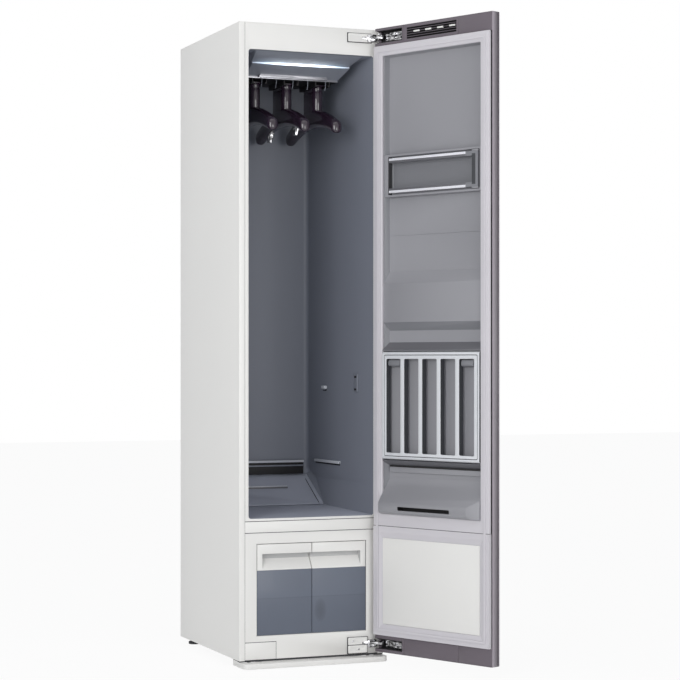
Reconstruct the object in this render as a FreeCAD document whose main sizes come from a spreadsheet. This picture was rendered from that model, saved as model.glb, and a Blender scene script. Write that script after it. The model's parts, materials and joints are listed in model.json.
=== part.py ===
import FreeCAD, Part

import math
import os
from types import SimpleNamespace

import Sketcher
from FreeCAD import Placement, Rotation, Vector

# Clothes care steam cabinet.
# Frame: millimetres, X to the right, Y from the front to the back, Z up. The origin lies on the floor
# under the middle of the cabinet. The door is modelled shut and then hung open about its hinge line.

doc = FreeCAD.newDocument("steam_cabinet")

# ---------------------------------------------------------------- sizes

CASING_SIZES = [
    ("cabinet_width", 445, "outside width of the casing"),
    ("cabinet_depth", 560, "casing depth without the door"),
    ("cabinet_height", 1850, "floor to the top of the casing"),
    ("casing_bottom", 22, "underside of the casing above the floor"),
    ("sheet_thickness", 1, "painted sheet of the casing"),
    ("flange_width", 17, "side panel's return on the front"),
    ("rear_return", 15, "side panel's return on the back"),
    ("seam", 0.5, "gap between neighbouring panels"),
    ("front_thickness", 3, "moulded front pieces"),
    ("sill_seam_height", 420, "seam under the cavity sill"),
    ("strip_seam_height", 387, "seam over the lower fascia"),
    ("service_cover_width", 95, "cover at the lower left"),
    ("service_cover_top", 74, "top of that cover"),
    ("service_cover_opening", 2, "height of the cover's foot above the casing bottom"),
    ("louvre_count", 9, "slots in the back panel"),
    ("louvre_pitch", 16, "slot spacing"),
    ("louvre_height", 5, "slot height"),
    ("louvre_width", 240, "slot width"),
    ("louvre_bottom", 120, "lowest slot"),
    ("chassis_thickness", 2, "floor plate of the chassis"),
    ("chassis_edge", 24, "upstand round the chassis"),
    ("foot_inset_side", 37.5, "middle of a foot from the side of the casing"),
    ("foot_inset_end", 25, "middle of a foot from the front or the back"),
    ("foot_radius", 18, "pad of a levelling foot"),
    ("foot_pad_height", 8, "thickness of the pad"),
    ("foot_stem_radius", 5, "threaded stem"),
    ("foot_stem_top", 42, "top of the stem above the floor"),
    ("foot_notch", 60, "notch in the foot plate round a front foot"),
    ("foot_plate_reach", 45, "foot plate in front of the casing"),
    ("foot_plate_back", 55, "foot plate under the casing"),
    ("foot_plate_bottom", 4, "foot plate above the floor"),
    ("foot_plate_top", 19, "top of its visible part"),
    ("foot_plate_corner", 18, "its front corner radius"),
    ("foot_plate_step", 10, "its raised back starts this far behind the front"),
]

CAVITY_SIZES = [
    ("cavity_side", 28.5, "cavity opening from the side of the casing"),
    ("cavity_bottom", 428, "sill of the opening"),
    ("cavity_head", 77, "head of the opening below the top of the casing"),
    ("cavity_corner", 8, "corner radius of the opening"),
    ("tub_back_gap", 60, "cavity's back wall to the back of the casing"),
    ("tub_taper", 16, "each side wall leans in by this much at the back"),
    ("tub_floor_rise", 5, "floor rises this much towards the back"),
    ("tub_wall", 2.5, "tub wall"),
    ("ramp_length", 97, "sloped floor piece, front to back"),
    ("ramp_height", 89, "its height at the back wall"),
    ("ramp_wall", 2.5, "its thickness"),
    ("return_side", 18, "air return opening to the cavity's side walls"),
    ("return_bottom", 530, "its lower edge"),
    ("return_height", 32, "its height"),
    ("grille_bar", 4, "bar of the return grille"),
    ("grille_depth", 9, "depth of the grille frame"),
    ("filter_width", 118, "lint filter width"),
    ("filter_thickness", 10, "lint filter thickness"),
    ("filter_side", 73, "filter's middle from the cavity's left wall at the back"),
    ("filter_back_gap", 46, "filter in front of the back wall"),
    ("filter_grip", 12, "grip above the ramp"),
    ("slide_gap", 0.4, "gap round a piece that slides"),
    ("module_side", 29, "ceiling module's front edge to the sides of the opening"),
    ("module_light_side", 41, "the same at the light"),
    ("module_bottom_side", 47, "the same at the hanger bar"),
    ("module_front", 15, "module starts this far behind the front"),
    ("module_light", 85, "its light strip behind the front"),
    ("module_light_drop", 21, "upper edge of the strip below the cavity's head"),
    ("module_light_height", 7, "height of the strip"),
    ("module_bar", 170, "hanger bar behind the front"),
    ("module_bar_drop", 53, "top of the hanger bar below the cavity's head"),
    ("module_back", 345, "back end of the module"),
    ("module_wall", 6, "wall of the module"),
    ("lens_depth", 5, "thickness of the light strip"),
    ("bar_height", 5, "height of the hanger bar"),
    ("bar_depth", 6, "thickness of the hanger bar"),
    ("plate_width", 208, "raised plate on the bar"),
    ("plate_rise", 6, "height of that plate over the bar"),
    ("wire_radius", 1.2, "wire stop between two hangers"),
    ("wire_drop", 27, "length of a wire stop"),
    ("hook_height", 54, "hook plate on a side wall"),
    ("hook_bottom", 787, "its lower edge"),
    ("hook_depth", 118, "its middle behind the front"),
    ("hook_width", 26, "its width"),
    ("hook_proud", 5, "it stands out from the wall by this"),
    ("tab_height", 14, "rear shelf tab on a side wall"),
    ("tab_bottom", 790, "its lower edge"),
    ("tab_depth", 358, "its middle behind the front"),
    ("tab_width", 20, "its width"),
    ("ledge_front", 242, "low side ledge, front end"),
    ("ledge_length", 209, "its length"),
    ("ledge_height", 566, "its underside"),
    ("ledge_thickness", 6, "its height"),
]

HANGER_SIZES = [
    ("hanger_pitch", 100, "between neighbouring hangers"),
    ("neck_width", 32, "hanger neck, left to right"),
    ("neck_length", 100, "hanger neck, front to back"),
    ("neck_front", 200, "front of the neck behind the front"),
    ("neck_height", 75, "ceiling module to where the neck meets the shoulders"),
    ("shoulder_span", 404, "tip to tip"),
    ("shoulder_width", 28, "thickness of the shoulders"),
    ("shoulder_drop", 94, "neck foot to the tips"),
    ("shoulder_depth", 26, "height of an arm"),
    ("shoulder_start", 2, "arms start this far inside the neck"),
    ("hanger_wall", 3, "wall of the hollow neck"),
    ("head_width", 40, "head that hangs in the rail"),
    ("head_height", 4, "thickness of the head"),
    ("rail_wall", 3, "wall of a hanger rail"),
    ("rail_lip", 6, "height of the lips that carry the head"),
    ("rail_height", 15, "rail below the ceiling module"),
    ("rail_length", 136, "length of a hanger rail"),
    ("clip_spread", 220, "between the two trouser clips"),
    ("clip_width", 24, "clip width"),
    ("clip_height", 34, "clip height"),
    ("clip_drop", 58, "neck foot to the top of a clip's jaw"),
    ("clip_root", 16, "fixed jaw reaches this far up into the arm"),
    ("jaw_thickness", 3, "jaw of a clip"),
    ("jaw_gap", 1.2, "between the jaws when shut"),
    ("jaw_pin_radius", 2, "pin of a moving jaw"),
]

TANK_SIZES = [
    ("bay_side", 53.5, "tank bay opening from the side of the casing"),
    ("bay_bottom", 91.5, "its lower edge"),
    ("bay_top", 355, "its upper edge"),
    ("bay_slack", 10, "room behind the tanks, the bay's wall with it"),
    ("bay_wall", 2.5, "wall of the bay"),
    ("bay_headroom", 50, "room over the tanks for an open lid"),
    ("tank_length", 300, "tank, front to back"),
    ("tank_wall", 2.5, "wall of a tank"),
    ("tank_glass_top", 279, "top of the clear part"),
    ("grip_side", 17, "hand recess from the side of the bay"),
    ("grip_top", 326, "top of the recess"),
    ("grip_knee", 312, "where its back starts to slope"),
    ("grip_bottom", 282, "lower end of the slope"),
    ("grip_depth", 23, "depth of the recess"),
    ("lid_width", 70, "filler lid, left to right"),
    ("lid_length", 40, "filler lid, front to back"),
    ("lid_thickness", 2.6, "filler lid"),
    ("lid_rim", 6, "lid rests on a rim this wide"),
    ("lid_back", 26, "lid to the back of the tank"),
    ("float_width", 28, "float, left to right"),
    ("float_length", 50, "float, front to back"),
    ("float_height", 64, "float height"),
    ("float_inset", 8, "float from the tank's inner wall"),
]

DOOR_SIZES = [
    ("door_angle", 114.06, "how far the door stands open, in degrees"),
    ("door_margin", 1, "door is narrower than the casing by this"),
    ("door_thickness", 32, "door without the liner frame"),
    ("door_gap", 14, "shut door to the casing front"),
    ("door_bottom", 31, "door above the floor"),
    ("door_skin", 1.2, "pressed door shell"),
    ("face_thickness", 4, "front panel of the door"),
    ("face_gap", 1, "shadow line behind the front panel"),
    ("face_corner", 3, "rounded long edges of the front panel"),
    ("pivot_inset", 14.5, "turning centre from the hinge edge"),
    ("pivot_depth", 10.9, "turning centre inside the door's inner face"),
    ("rail_top_height", 53, "plain rail over the liner"),
    ("rail_bottom_height", 51, "plain rail under the liner"),
    ("liner_proud", 10, "liner frame stands out by this"),
    ("liner_edge", 2, "liner frame from the hinge edge"),
    ("liner_split", 400, "seam between the two liner frames"),
    ("recess_side", 35, "upper recess from the hinge edge"),
    ("recess_far", 36, "upper recess from the door's other edge"),
    ("recess_bottom", 437, "upper recess, lower edge"),
    ("recess_head", 30, "upper recess below the liner's top"),
    ("recess_depth", 16, "its floor inside the door's inner face"),
    ("recess_slope", 8, "its side walls lean in by this at the floor"),
    ("liner_wall", 2, "wall of the upper liner"),
    ("bulge_bottom", 968, "lower end of the relief over the shelf"),
    ("bulge_turn", 24, "height of its lower slope"),
    ("bulge_flat", 112, "height of its face"),
    ("bulge_ramp", 35, "height of its upper slope"),
    ("bulge_height", 18, "how far it stands off the recess floor"),
    ("scoop_top", 545, "scoop grows from the recess floor here"),
    ("scoop_nose", 467, "scoop's most forward point"),
    ("scoop_out", 28, "nose beyond the door's inner face"),
    ("scoop_lip", 14, "lower lip beyond the door's inner face"),
    ("scoop_slot_start", 117, "drain slot from the hinge edge"),
    ("scoop_slot_end", 135, "drain slot from the door's other edge"),
    ("scoop_slot_height", 10, "drain slot height"),
    ("scoop_slot_bottom", 444, "its lower edge"),
    ("scoop_wall", 2.5, "wall of the scoop"),
    ("insert_far", 41, "white insert from the door's other edge"),
    ("insert_bottom", 115, "its lower edge"),
    ("insert_top", 366, "its upper edge"),
    ("insert_sunk", 3, "insert lies this far behind the frame face"),
    ("gasket_inset", 12, "gasket from the liner's edge"),
    ("gasket_width", 8, "gasket width"),
    ("gasket_height", 2.5, "gasket height"),
    ("vent_start", 124, "vent in the top rail from the hinge edge"),
    ("vent_end", 132, "vent from the door's other edge"),
    ("vent_drop", 42, "its lower edge below the top of the door"),
    ("vent_height", 32.5, "its height"),
    ("vent_depth", 12, "its depth"),
    ("vent_bars", 4, "bars across the vent"),
    ("vent_bar", 2.5, "height of a bar"),
]

FITTING_SIZES = [
    ("shelf_over", 2, "shelf is wider than the recess by this, its gaps with it"),
    ("shelf_bottom", 595, "its lower edge"),
    ("shelf_height", 312, "its height"),
    ("shelf_thickness", 18, "its thickness"),
    ("shelf_front", 11, "its face beyond the door's inner face"),
    ("shelf_shift", 0.5, "shelf starts this far before the recess"),
    ("slot_first", 22, "first slot from the shelf's side"),
    ("slot_pitch", 69.3, "slot spacing"),
    ("slot_width", 51.5, "slot width"),
    ("slot_bottom", 19.5, "slots from the shelf's lower edge"),
    ("slot_head", 21, "slots from the shelf's upper edge"),
    ("slot_count", 5, "slots"),
    ("clip_depth", 6, "clip tab in front of the recess floor"),
    ("clip_tab_height", 22, "clip tab height"),
    ("clip_margin", 5, "clip tab to the sides of its slot"),
    ("seat_gap", 2.5, "shelf to the liner's slope over it and under it"),
    ("seat_reach", 23, "reach of these slopes in front of the recess floor"),
    ("seat_roof", 24.5, "height of the slope over the shelf"),
    ("seat_sill", 17, "height of the slope under the shelf"),
    ("ledge_lip_height", 16, "ledge under the shelf"),
    ("ledge_lip_bottom", 557, "its lower edge"),
    ("ledge_lip_inset", 14, "its ends inside the recess"),
    ("arm_bottom", 1367, "rail arm, lower edge"),
    ("arm_bar_height", 13, "height of a bar"),
    ("arm_pitch", 87, "between the two bars"),
    ("arm_bar_depth", 8, "depth of a bar"),
    ("arm_start", 58, "free end from the hinge edge"),
    ("arm_far", 72, "bars end in the yoke this far from the door's other edge"),
    ("yoke_width", 22, "yoke at the pivot end"),
    ("arm_front", 4, "bar face beyond the door's inner face"),
    ("arm_pin_radius", 3, "pivot pin of the arm"),
    ("bracket_thickness", 4, "bracket ears"),
    ("running_gap", 0.05, "radial gap of a pin in its hole"),
]

HINGE_SIZES = [
    ("plate_start", 112.5, "hinge plate, left end from the side of the casing"),
    ("top_plate_end", 36.5, "top plate, right end from the side of the casing"),
    ("bottom_plate_end", 48.5, "bottom plate, right end from the side of the casing"),
    ("plate_proud", 3, "plate in front of the casing"),
    ("top_plate_drop", 40, "top plate, lower edge below the top of the casing"),
    ("top_plate_height", 28, "top plate height"),
    ("bottom_plate_bottom", 25, "bottom plate, lower edge"),
    ("bottom_plate_height", 49, "bottom plate height"),
    ("top_cup_drop", 43, "top pocket in the door, lower edge below the top of the casing"),
    ("top_cup_height", 36, "its height"),
    ("bottom_cup_bottom", 40, "bottom pocket in the door"),
    ("bottom_cup_height", 30, "its height"),
    ("cup_start", 8, "pocket from the hinge edge"),
    ("cup_end", 106, "pocket ends here"),
    ("cup_depth", 22, "pocket depth"),
    ("cup_wall", 1.5, "wall of the hinge cup"),
    ("cup_notch", 15, "depth of the notch through the hinge edge"),
    ("arm_width", 9, "hinge arm width"),
    ("arm_thickness", 7, "hinge arm thickness"),
    ("arm_reach", 34, "arm from the turning centre to the plate"),
    ("arm_root_end", 36.5, "right end of the arm's root from the side of the casing"),
    ("arm_root_length", 30, "length of the arm's root on the plate"),
    ("arm_angle", 143, "direction of the arm from the turning centre, in degrees"),
    ("link_angle", 180, "direction of the link when the door is shut, in degrees"),
    ("boss_radius", 6.5, "boss on the pin"),
    ("pin_radius", 3, "hinge pin"),
    ("link_length", 34, "link from the pin"),
    ("link_thickness", 3, "link thickness"),
    ("layer_gap", 0.3, "between arm, link and eye"),
]

INNER_SIZES = [
    ("compressor_radius", 58, "compressor can"),
    ("compressor_height", 170, "compressor can height"),
    ("compressor_side", 36.5, "can to the right side of the casing"),
    ("compressor_back", 62, "can to the back of the casing"),
    ("grommet_height", 12, "rubber feet of the compressor"),
    ("grommet_radius", 9, "rubber feet of the compressor"),
    ("grommet_sunk", 1, "rubber feet grip the can by this"),
    ("dome_share", 0.6, "top of the can's dome as a share of its radius"),
    ("return_share", 0.4, "return pipe from the can's middle as a share of its radius"),
    ("pipe_radius", 5, "refrigerant pipes"),
    ("elbow_radius", 7, "elbow fittings of the pipes"),
    ("pipe_rise", 14, "delivery pipe over the can"),
    ("pipe_step", 16, "return pipe over the delivery pipe"),
    ("exchanger_width", 190, "heat exchanger width"),
    ("exchanger_height", 240, "heat exchanger height"),
    ("exchanger_side", 17.5, "heat exchangers to the left side of the casing"),
    ("exchanger_room", 22, "tank bay to the first heat exchanger"),
    ("exchanger_gap", 16, "between the two, and to the fan"),
    ("fin_count", 12, "grooves in a heat exchanger"),
    ("fin_groove", 3, "groove width"),
    ("fan_radius", 62, "circulation fan housing"),
    ("fan_wheel_radius", 50, "circulation fan wheel"),
    ("fan_depth", 46, "its housing"),
    ("fan_back", 32, "its motor to the back of the casing"),
    ("fan_side", 122.5, "its axis to the left side of the casing"),
    ("fan_foot_share", 0.7, "its foot as a share of its radius"),
    ("fan_mouth_share", 0.6, "its mouth as a share of its radius"),
    ("wheel_disc_share", 0.25, "back disc of a wheel as a share of its length"),
    ("wheel_room_share", 0.82, "hollow of a wheel as a share of its radius"),
    ("fan_z", 120, "its axis above the chassis"),
    ("motor_radius", 26, "fan motors"),
    ("motor_length", 30, "fan motors"),
    ("top_motor_share", 0.7, "top motor as a share of that length"),
    ("bore_share", 0.8, "bore of a motor as a share of its length"),
    ("shaft_radius", 4, "fan shafts"),
    ("boiler_length", 150, "steam generator"),
    ("boiler_depth", 56, "steam generator"),
    ("boiler_height", 70, "steam generator"),
    ("boiler_side", 27.5, "its right side to the side of the casing"),
    ("boiler_rise", 250, "steam generator above the chassis"),
    ("pump_radius", 17, "pumps"),
    ("pump_length", 62, "pumps"),
    ("pump_room", 60, "tank bay to the first pump"),
    ("pump_gap", 5, "between the pumps"),
    ("pump_start", 6, "pumps start this far left of the middle"),
    ("pump_foot_share", 0.8, "foot of a pump as a share of its radius"),
    ("duct_margin", 10, "rear air duct on each side of the air return"),
    ("duct_head", 130, "top of the duct below the top of the casing"),
    ("duct_wall", 2, "wall of the duct"),
    ("blower_radius", 100, "top blower housing"),
    ("blower_wheel_radius", 84, "top blower wheel"),
    ("blower_height", 42, "top blower housing"),
    ("blower_y", 40, "its axis behind the middle"),
    ("outlet_half_share", 0.5, "half its outlet as a share of its radius"),
    ("outlet_reach_share", 1.6, "reach of the outlet as a share of its radius"),
    ("board_length", 150, "control board"),
    ("board_depth", 90, "control board"),
    ("inlet_width", 50, "mains inlet"),
    ("inlet_height", 34, "mains inlet"),
    ("inlet_bottom", 60, "mains inlet above the floor"),
    ("inlet_side", 72.5, "mains inlet's middle to the side of the casing"),
]


class Size:
    """A size that knows its value and its formula on the sheet."""

    def __init__(self, value, formula):
        self.value = value
        self.formula = formula

    def __add__(self, other):
        other = as_size(other)
        return Size(self.value + other.value, f"({self.formula} + {other.formula})")

    def __sub__(self, other):
        other = as_size(other)
        return Size(self.value - other.value, f"({self.formula} - {other.formula})")

    def __mul__(self, other):
        other = as_size(other)
        return Size(self.value * other.value, f"({self.formula} * {other.formula})")

    def __truediv__(self, other):
        other = as_size(other)
        return Size(self.value / other.value, f"({self.formula} / {other.formula})")

    def __neg__(self):
        return Size(-self.value, f"(0 - {self.formula})")

    def __radd__(self, other):
        return as_size(other) + self

    def __rsub__(self, other):
        return as_size(other) - self

    __rmul__ = __mul__


def as_size(number):
    return number if isinstance(number, Size) else Size(float(number), f"({number})")


def fill_sheet(tables):
    """Puts every size on the sheet, with its alias, and returns them by name."""
    sheet = doc.addObject("Spreadsheet::Sheet", "Sizes")
    sizes = SimpleNamespace()
    row = 0
    for table in tables:
        for name, value, meaning in table:
            row += 1
            sheet.set(f"A{row}", name)
            sheet.set(f"B{row}", str(value))
            sheet.set(f"C{row}", meaning)
            sheet.setAlias(f"B{row}", name)
            setattr(sizes, name, Size(float(value), f"Sizes.{name}"))
    doc.recompute()
    return sizes


s = fill_sheet(
    [
        CASING_SIZES,
        CAVITY_SIZES,
        HANGER_SIZES,
        TANK_SIZES,
        DOOR_SIZES,
        FITTING_SIZES,
        HINGE_SIZES,
        INNER_SIZES,
    ]
)

# Places that many pieces share.
half_width = s.cabinet_width / 2
front = -s.cabinet_depth / 2
back = s.cabinet_depth / 2
flange_edge = half_width - s.flange_width
panel_edge = flange_edge - s.seam
front_back = front + s.front_thickness
cavity_half = half_width - s.cavity_side
cavity_top = s.cabinet_height - s.cavity_head
tub_back = back - s.tub_back_gap
tub_back_half = cavity_half - s.tub_taper
return_half = tub_back_half - s.return_side
chassis_top = s.casing_bottom + s.chassis_thickness
hinge_edge = half_width
door_inner = front - s.door_gap
door_outer = door_inner - s.door_thickness
door_height = s.cabinet_height - s.door_bottom
liner_bottom = s.door_bottom + s.rail_bottom_height
liner_top = s.cabinet_height - s.rail_top_height
recess_floor = door_inner - s.recess_depth
liner_face = door_inner + s.liner_proud
door_width = s.cabinet_width - s.door_margin
liner_end = door_width - s.liner_edge * 2
recess_top = liner_top - s.recess_head
recess_width = door_width - s.recess_side - s.recess_far
bay_half = half_width - s.bay_side
bay_back = front + s.tank_length + s.bay_slack
pivot_x = hinge_edge - s.pivot_inset
pivot_y = door_inner - s.pivot_depth
light_top = cavity_top - s.module_light_drop
light_bottom = light_top - s.module_light_height
module_bottom = cavity_top - s.module_bar_drop - s.bar_height
neck_bottom = module_bottom - s.neck_height

# ---------------------------------------------------------------- modelling helpers

nodes = {}


def bind(thing, setting, size):
    thing.setExpression(setting, as_size(size).formula)


def place(thing, corner):
    for axis, size in zip("xyz", corner):
        bind(thing, f"Placement.Base.{axis}", size)
    return thing


def block(low, high):
    """A block between its lowest and highest corner."""
    thing = doc.addObject("Part::Box", "Block")
    for side, start, end in zip(("Length", "Width", "Height"), low, high):
        bind(thing, side, as_size(end) - start)
    return place(thing, low)


TURN_TO_AXIS = {
    "x": Rotation(Vector(0, 1, 0), 90),
    "y": Rotation(Vector(1, 0, 0), -90),
    "z": Rotation(),
}


def rod(axis, start, radius, length):
    """A round bar that starts at a point and runs along an axis."""
    thing = doc.addObject("Part::Cylinder", "Rod")
    thing.Placement = Placement(Vector(), TURN_TO_AXIS[axis])
    bind(thing, "Radius", radius)
    bind(thing, "Height", length)
    return place(thing, start)


def taper(near, far):
    """A block whose section changes along Y. Each end is (y, x low, x high, z low, z high)."""
    thing = doc.addObject("Part::Wedge", "Taper")
    names = (("Ymin", "Xmin", "Xmax", "Zmin", "Zmax"), ("Ymax", "X2min", "X2max", "Z2min", "Z2max"))
    for settings, sizes in zip(names, (near, far)):
        for setting, size in zip(settings, sizes):
            bind(thing, setting, size)
    return thing


def joined(*things):
    thing = doc.addObject("Part::MultiFuse", "Joined")
    thing.Shapes = list(things)
    return thing


def without(base, *tools):
    thing = doc.addObject("Part::Cut", "Cut")
    thing.Base = base
    thing.Tool = tools[0] if len(tools) == 1 else joined(*tools)
    return thing


def shared(first, second):
    thing = doc.addObject("Part::Common", "Shared")
    thing.Base = first
    thing.Tool = second
    return thing


def group(*things):
    thing = doc.addObject("Part::Compound", "Group")
    thing.Links = list(things)
    return thing


def rectangle(low, high):
    return [(low[0], low[1]), (high[0], low[1]), (high[0], high[1]), (low[0], high[1])]


def circle(centre, radius):
    return {"centre": centre, "radius": radius}


# The plane that each direction of build uses. The normal of XZ_Plane runs against Y.
PLANES = {"x": "YZ_Plane", "y": "XZ_Plane", "z": "XY_Plane"}
ACROSS = {"x": "yz", "y": "xz", "z": "xy"}
AGAINST = "y"


class Piece:
    """A sub-part made as one body out of pads, pockets and rounded edges."""

    def __init__(self, name):
        self.body = doc.addObject("PartDesign::Body", name)

    def sketch(self, axis, at, outlines):
        plane = next(o for o in self.body.Origin.OriginFeatures if o.Role == PLANES[axis])
        sketch = self.body.newObject("Sketcher::SketchObject", "Outline")
        sketch.AttachmentSupport = (plane, [""])
        sketch.MapMode = "FlatFace"
        bind(sketch, ".AttachmentOffset.Base.z", -as_size(at) if axis == AGAINST else at)
        for outline in outlines:
            if isinstance(outline, dict):
                self.draw_circle(sketch, outline)
            else:
                self.draw_polygon(sketch, outline)
        return sketch

    def pin_point(self, sketch, line, end, point):
        for kind, size in zip(("DistanceX", "DistanceY"), point):
            size = as_size(size)
            index = sketch.addConstraint(Sketcher.Constraint(kind, -1, 1, line, end, size.value))
            sketch.setExpression(f"Constraints[{index}]", size.formula)

    def draw_circle(self, sketch, outline):
        centre = [as_size(c) for c in outline["centre"]]
        radius = as_size(outline["radius"])
        spot = Vector(centre[0].value, centre[1].value, 0)
        index = sketch.addGeometry(Part.Circle(spot, Vector(0, 0, 1), radius.value), False)
        self.pin_point(sketch, index, 3, centre)
        kept = sketch.addConstraint(Sketcher.Constraint("Radius", index, radius.value))
        sketch.setExpression(f"Constraints[{kept}]", radius.formula)

    def draw_polygon(self, sketch, outline):
        points = [tuple(as_size(c) for c in point) for point in outline]
        spots = [Vector(a.value, b.value, 0) for a, b in points]
        first = sketch.GeometryCount
        count = len(points)
        for i in range(count):
            sketch.addGeometry(Part.LineSegment(spots[i], spots[(i + 1) % count]), False)
        for i in range(count):
            corner = (first + i, 2, first + (i + 1) % count, 1)
            sketch.addConstraint(Sketcher.Constraint("Coincident", *corner))
            self.pin_point(sketch, first + i, 1, points[i])

    def pad(self, axis, start, end, *outlines):
        """Fills the outlines from start to end along the axis."""
        feature = self.body.newObject("PartDesign::Pad", "Pad")
        feature.Profile = self.sketch(axis, end if axis == AGAINST else start, outlines)
        bind(feature, "Length", as_size(end) - start)
        return self

    def cut(self, axis, start, end, *outlines):
        """Empties the outlines from start to end along the axis."""
        feature = self.body.newObject("PartDesign::Pocket", "Pocket")
        feature.Profile = self.sketch(axis, start if axis == AGAINST else end, outlines)
        bind(feature, "Length", as_size(end) - start)
        return self

    def round(self, radius, axis, *corners):
        """Rounds the edges that run along the axis through the given corners."""
        doc.recompute()
        tip = self.body.Tip
        chosen = []
        for number, edge in enumerate(tip.Shape.Edges, 1):
            if len(edge.Vertexes) == 2 and any(runs_through(edge, axis, corner) for corner in corners):
                chosen.append(f"Edge{number}")
        feature = self.body.newObject("PartDesign::Fillet", "Rounding")
        feature.Base = (tip, chosen)
        bind(feature, "Radius", radius)
        return self


def runs_through(edge, axis, corner):
    """Whether both ends of an edge lie on the line along the axis through a corner."""
    near = 0.01
    for vertex in edge.Vertexes:
        for direction, goal in zip(ACROSS[axis], corner):
            if abs(getattr(vertex.Point, direction) - as_size(goal).value) > near:
                return False
    return True


def keep(name, thing, on_door=False):
    """Registers a finished sub-part, and hangs it open with the door where it belongs to the door."""
    thing = thing.body if isinstance(thing, Piece) else thing
    thing.Label = name
    if on_door:
        turn = f"rotation(vector(0; 0; 1); {s.door_angle.formula})"
        centre = f"vector({pivot_x.formula}; {pivot_y.formula}; 0)"
        thing.setExpression("Placement", f"placement(vector(0; 0; 0); {turn}; {centre})")
    nodes[name] = thing
    return thing


# ---------------------------------------------------------------- casing


def side_panel(name, side):
    """A bent sheet with a return on the front and on the back. side is -1 on the left, 1 on the right."""
    outer, inner = half_width * side, (half_width - s.sheet_thickness) * side
    outline = [
        (outer, front),
        (flange_edge * side, front),
        (flange_edge * side, front + s.sheet_thickness),
        (inner, front + s.sheet_thickness),
        (inner, back - s.sheet_thickness),
        ((half_width - s.rear_return) * side, back - s.sheet_thickness),
        ((half_width - s.rear_return) * side, back),
        (outer, back),
    ]
    keep(name, Piece(name).pad("z", s.casing_bottom, s.cabinet_height - s.sheet_thickness, outline))


def top_panel():
    top = Piece("top_panel").pad(
        "z",
        s.cabinet_height - s.sheet_thickness,
        s.cabinet_height,
        rectangle((-half_width, front), (half_width, back)),
    )
    keep("top_panel", top)


def back_panel():
    """A flat sheet between the side panels' returns, with cooling slots and a hole for the mains inlet."""
    edge = half_width - s.rear_return - s.seam
    low, high = back - s.sheet_thickness, back
    panel = Piece("back_panel").pad(
        "y", low, high, rectangle((-edge, s.casing_bottom), (edge, s.cabinet_height - s.sheet_thickness))
    )
    slots = []
    for i in range(int(s.louvre_count.value)):
        bottom = s.louvre_bottom + s.louvre_pitch * i
        slots.append(rectangle((-s.louvre_width / 2, bottom), (s.louvre_width / 2, bottom + s.louvre_height)))
    panel.cut("y", low, high, *slots)
    panel.cut("y", low, high, inlet_outline(0))
    keep("back_panel", panel)


def inlet_outline(margin):
    middle = half_width - s.inlet_side
    left = middle - s.inlet_width / 2 + margin
    right = middle + s.inlet_width / 2 - margin
    return rectangle((left, s.inlet_bottom + margin), (right, s.inlet_bottom + s.inlet_height - margin))


def foot_centre(side, end):
    return (half_width - s.foot_inset_side) * side, (back - s.foot_inset_end) * end


def foot_centres():
    return [foot_centre(side, end) for end in (-1, 1) for side in (-1, 1)]


def chassis():
    """The tray that everything in the base stands on."""
    x = half_width - s.sheet_thickness - s.seam
    near, far = front_back + s.seam, back - s.sheet_thickness - s.seam
    t = s.chassis_thickness
    edge_top = s.casing_bottom + s.chassis_edge
    tray = Piece("chassis").pad("z", s.casing_bottom, edge_top, rectangle((-x, near), (x, far)))
    tray.cut("z", chassis_top, edge_top, rectangle((t - x, near + t), (x - t, far - t)))
    holes = [circle(centre, s.foot_stem_radius + s.seam) for centre in foot_centres()]
    tray.cut("z", s.casing_bottom, chassis_top, *holes)
    keep("chassis", tray)


def levelling_feet():
    feet = []
    for x, y in foot_centres():
        pad = rod("z", (x, y, 0), s.foot_radius, s.foot_pad_height)
        stem_foot = s.foot_pad_height / 2
        stem = rod("z", (x, y, stem_foot), s.foot_stem_radius, s.foot_stem_top - stem_foot)
        feet.append(joined(pad, stem))
    keep("levelling_feet", group(*feet))


def foot_plate():
    """The low plate that reaches out in front of the casing and steadies it."""
    low, high = front - s.foot_plate_reach, front + s.foot_plate_back
    plate = Piece("foot_plate").pad(
        "z", s.foot_plate_bottom, s.casing_bottom, rectangle((-half_width, low), (half_width, high))
    )
    step = front + s.foot_plate_step
    plate.cut("z", s.foot_plate_top, s.casing_bottom, rectangle((-half_width, low), (half_width, step)))
    notches = []
    for side in (-1, 1):
        x, y = foot_centre(side, -1)
        notch = s.foot_notch / 2
        notches.append(rectangle((x - notch, y - notch), (x + notch, high)))
    plate.cut("z", s.foot_plate_bottom, s.casing_bottom, *notches)
    plate.round(s.foot_plate_corner, "z", (-half_width, low), (half_width, low))
    keep("foot_plate", plate)


def front_frame():
    """The flat frame round the cavity opening."""
    opening = rectangle((-cavity_half, s.cavity_bottom), (cavity_half, cavity_top))
    bottom, top = s.sill_seam_height + s.seam, s.cabinet_height - s.sheet_thickness
    frame = Piece("front_frame")
    frame.pad("y", front, front_back, rectangle((-panel_edge, bottom), (panel_edge, top)))
    frame.cut("y", front, front_back, opening)
    frame.round(s.cavity_corner, "y", *opening)
    keep("front_frame", frame)


def sill_strip():
    bottom = s.strip_seam_height + s.seam
    outline = rectangle((-panel_edge, bottom), (panel_edge, s.sill_seam_height))
    strip = Piece("sill_strip").pad("y", front, front_back, outline)
    keep("sill_strip", strip)


def lower_fascia():
    """The front of the base, open for the two tanks and for the service cover."""
    low_corner = (-panel_edge, s.casing_bottom)
    cover_corner = (-panel_edge + s.service_cover_width, s.service_cover_top)
    fascia = Piece("lower_fascia")
    fascia.pad("y", front, front_back, rectangle(low_corner, (panel_edge, s.strip_seam_height)))
    fascia.cut("y", front, front_back, rectangle((-bay_half, s.bay_bottom), (bay_half, s.bay_top)))
    fascia.cut("y", front, front_back, rectangle(low_corner, cover_corner))
    keep("lower_fascia", fascia)


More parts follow.
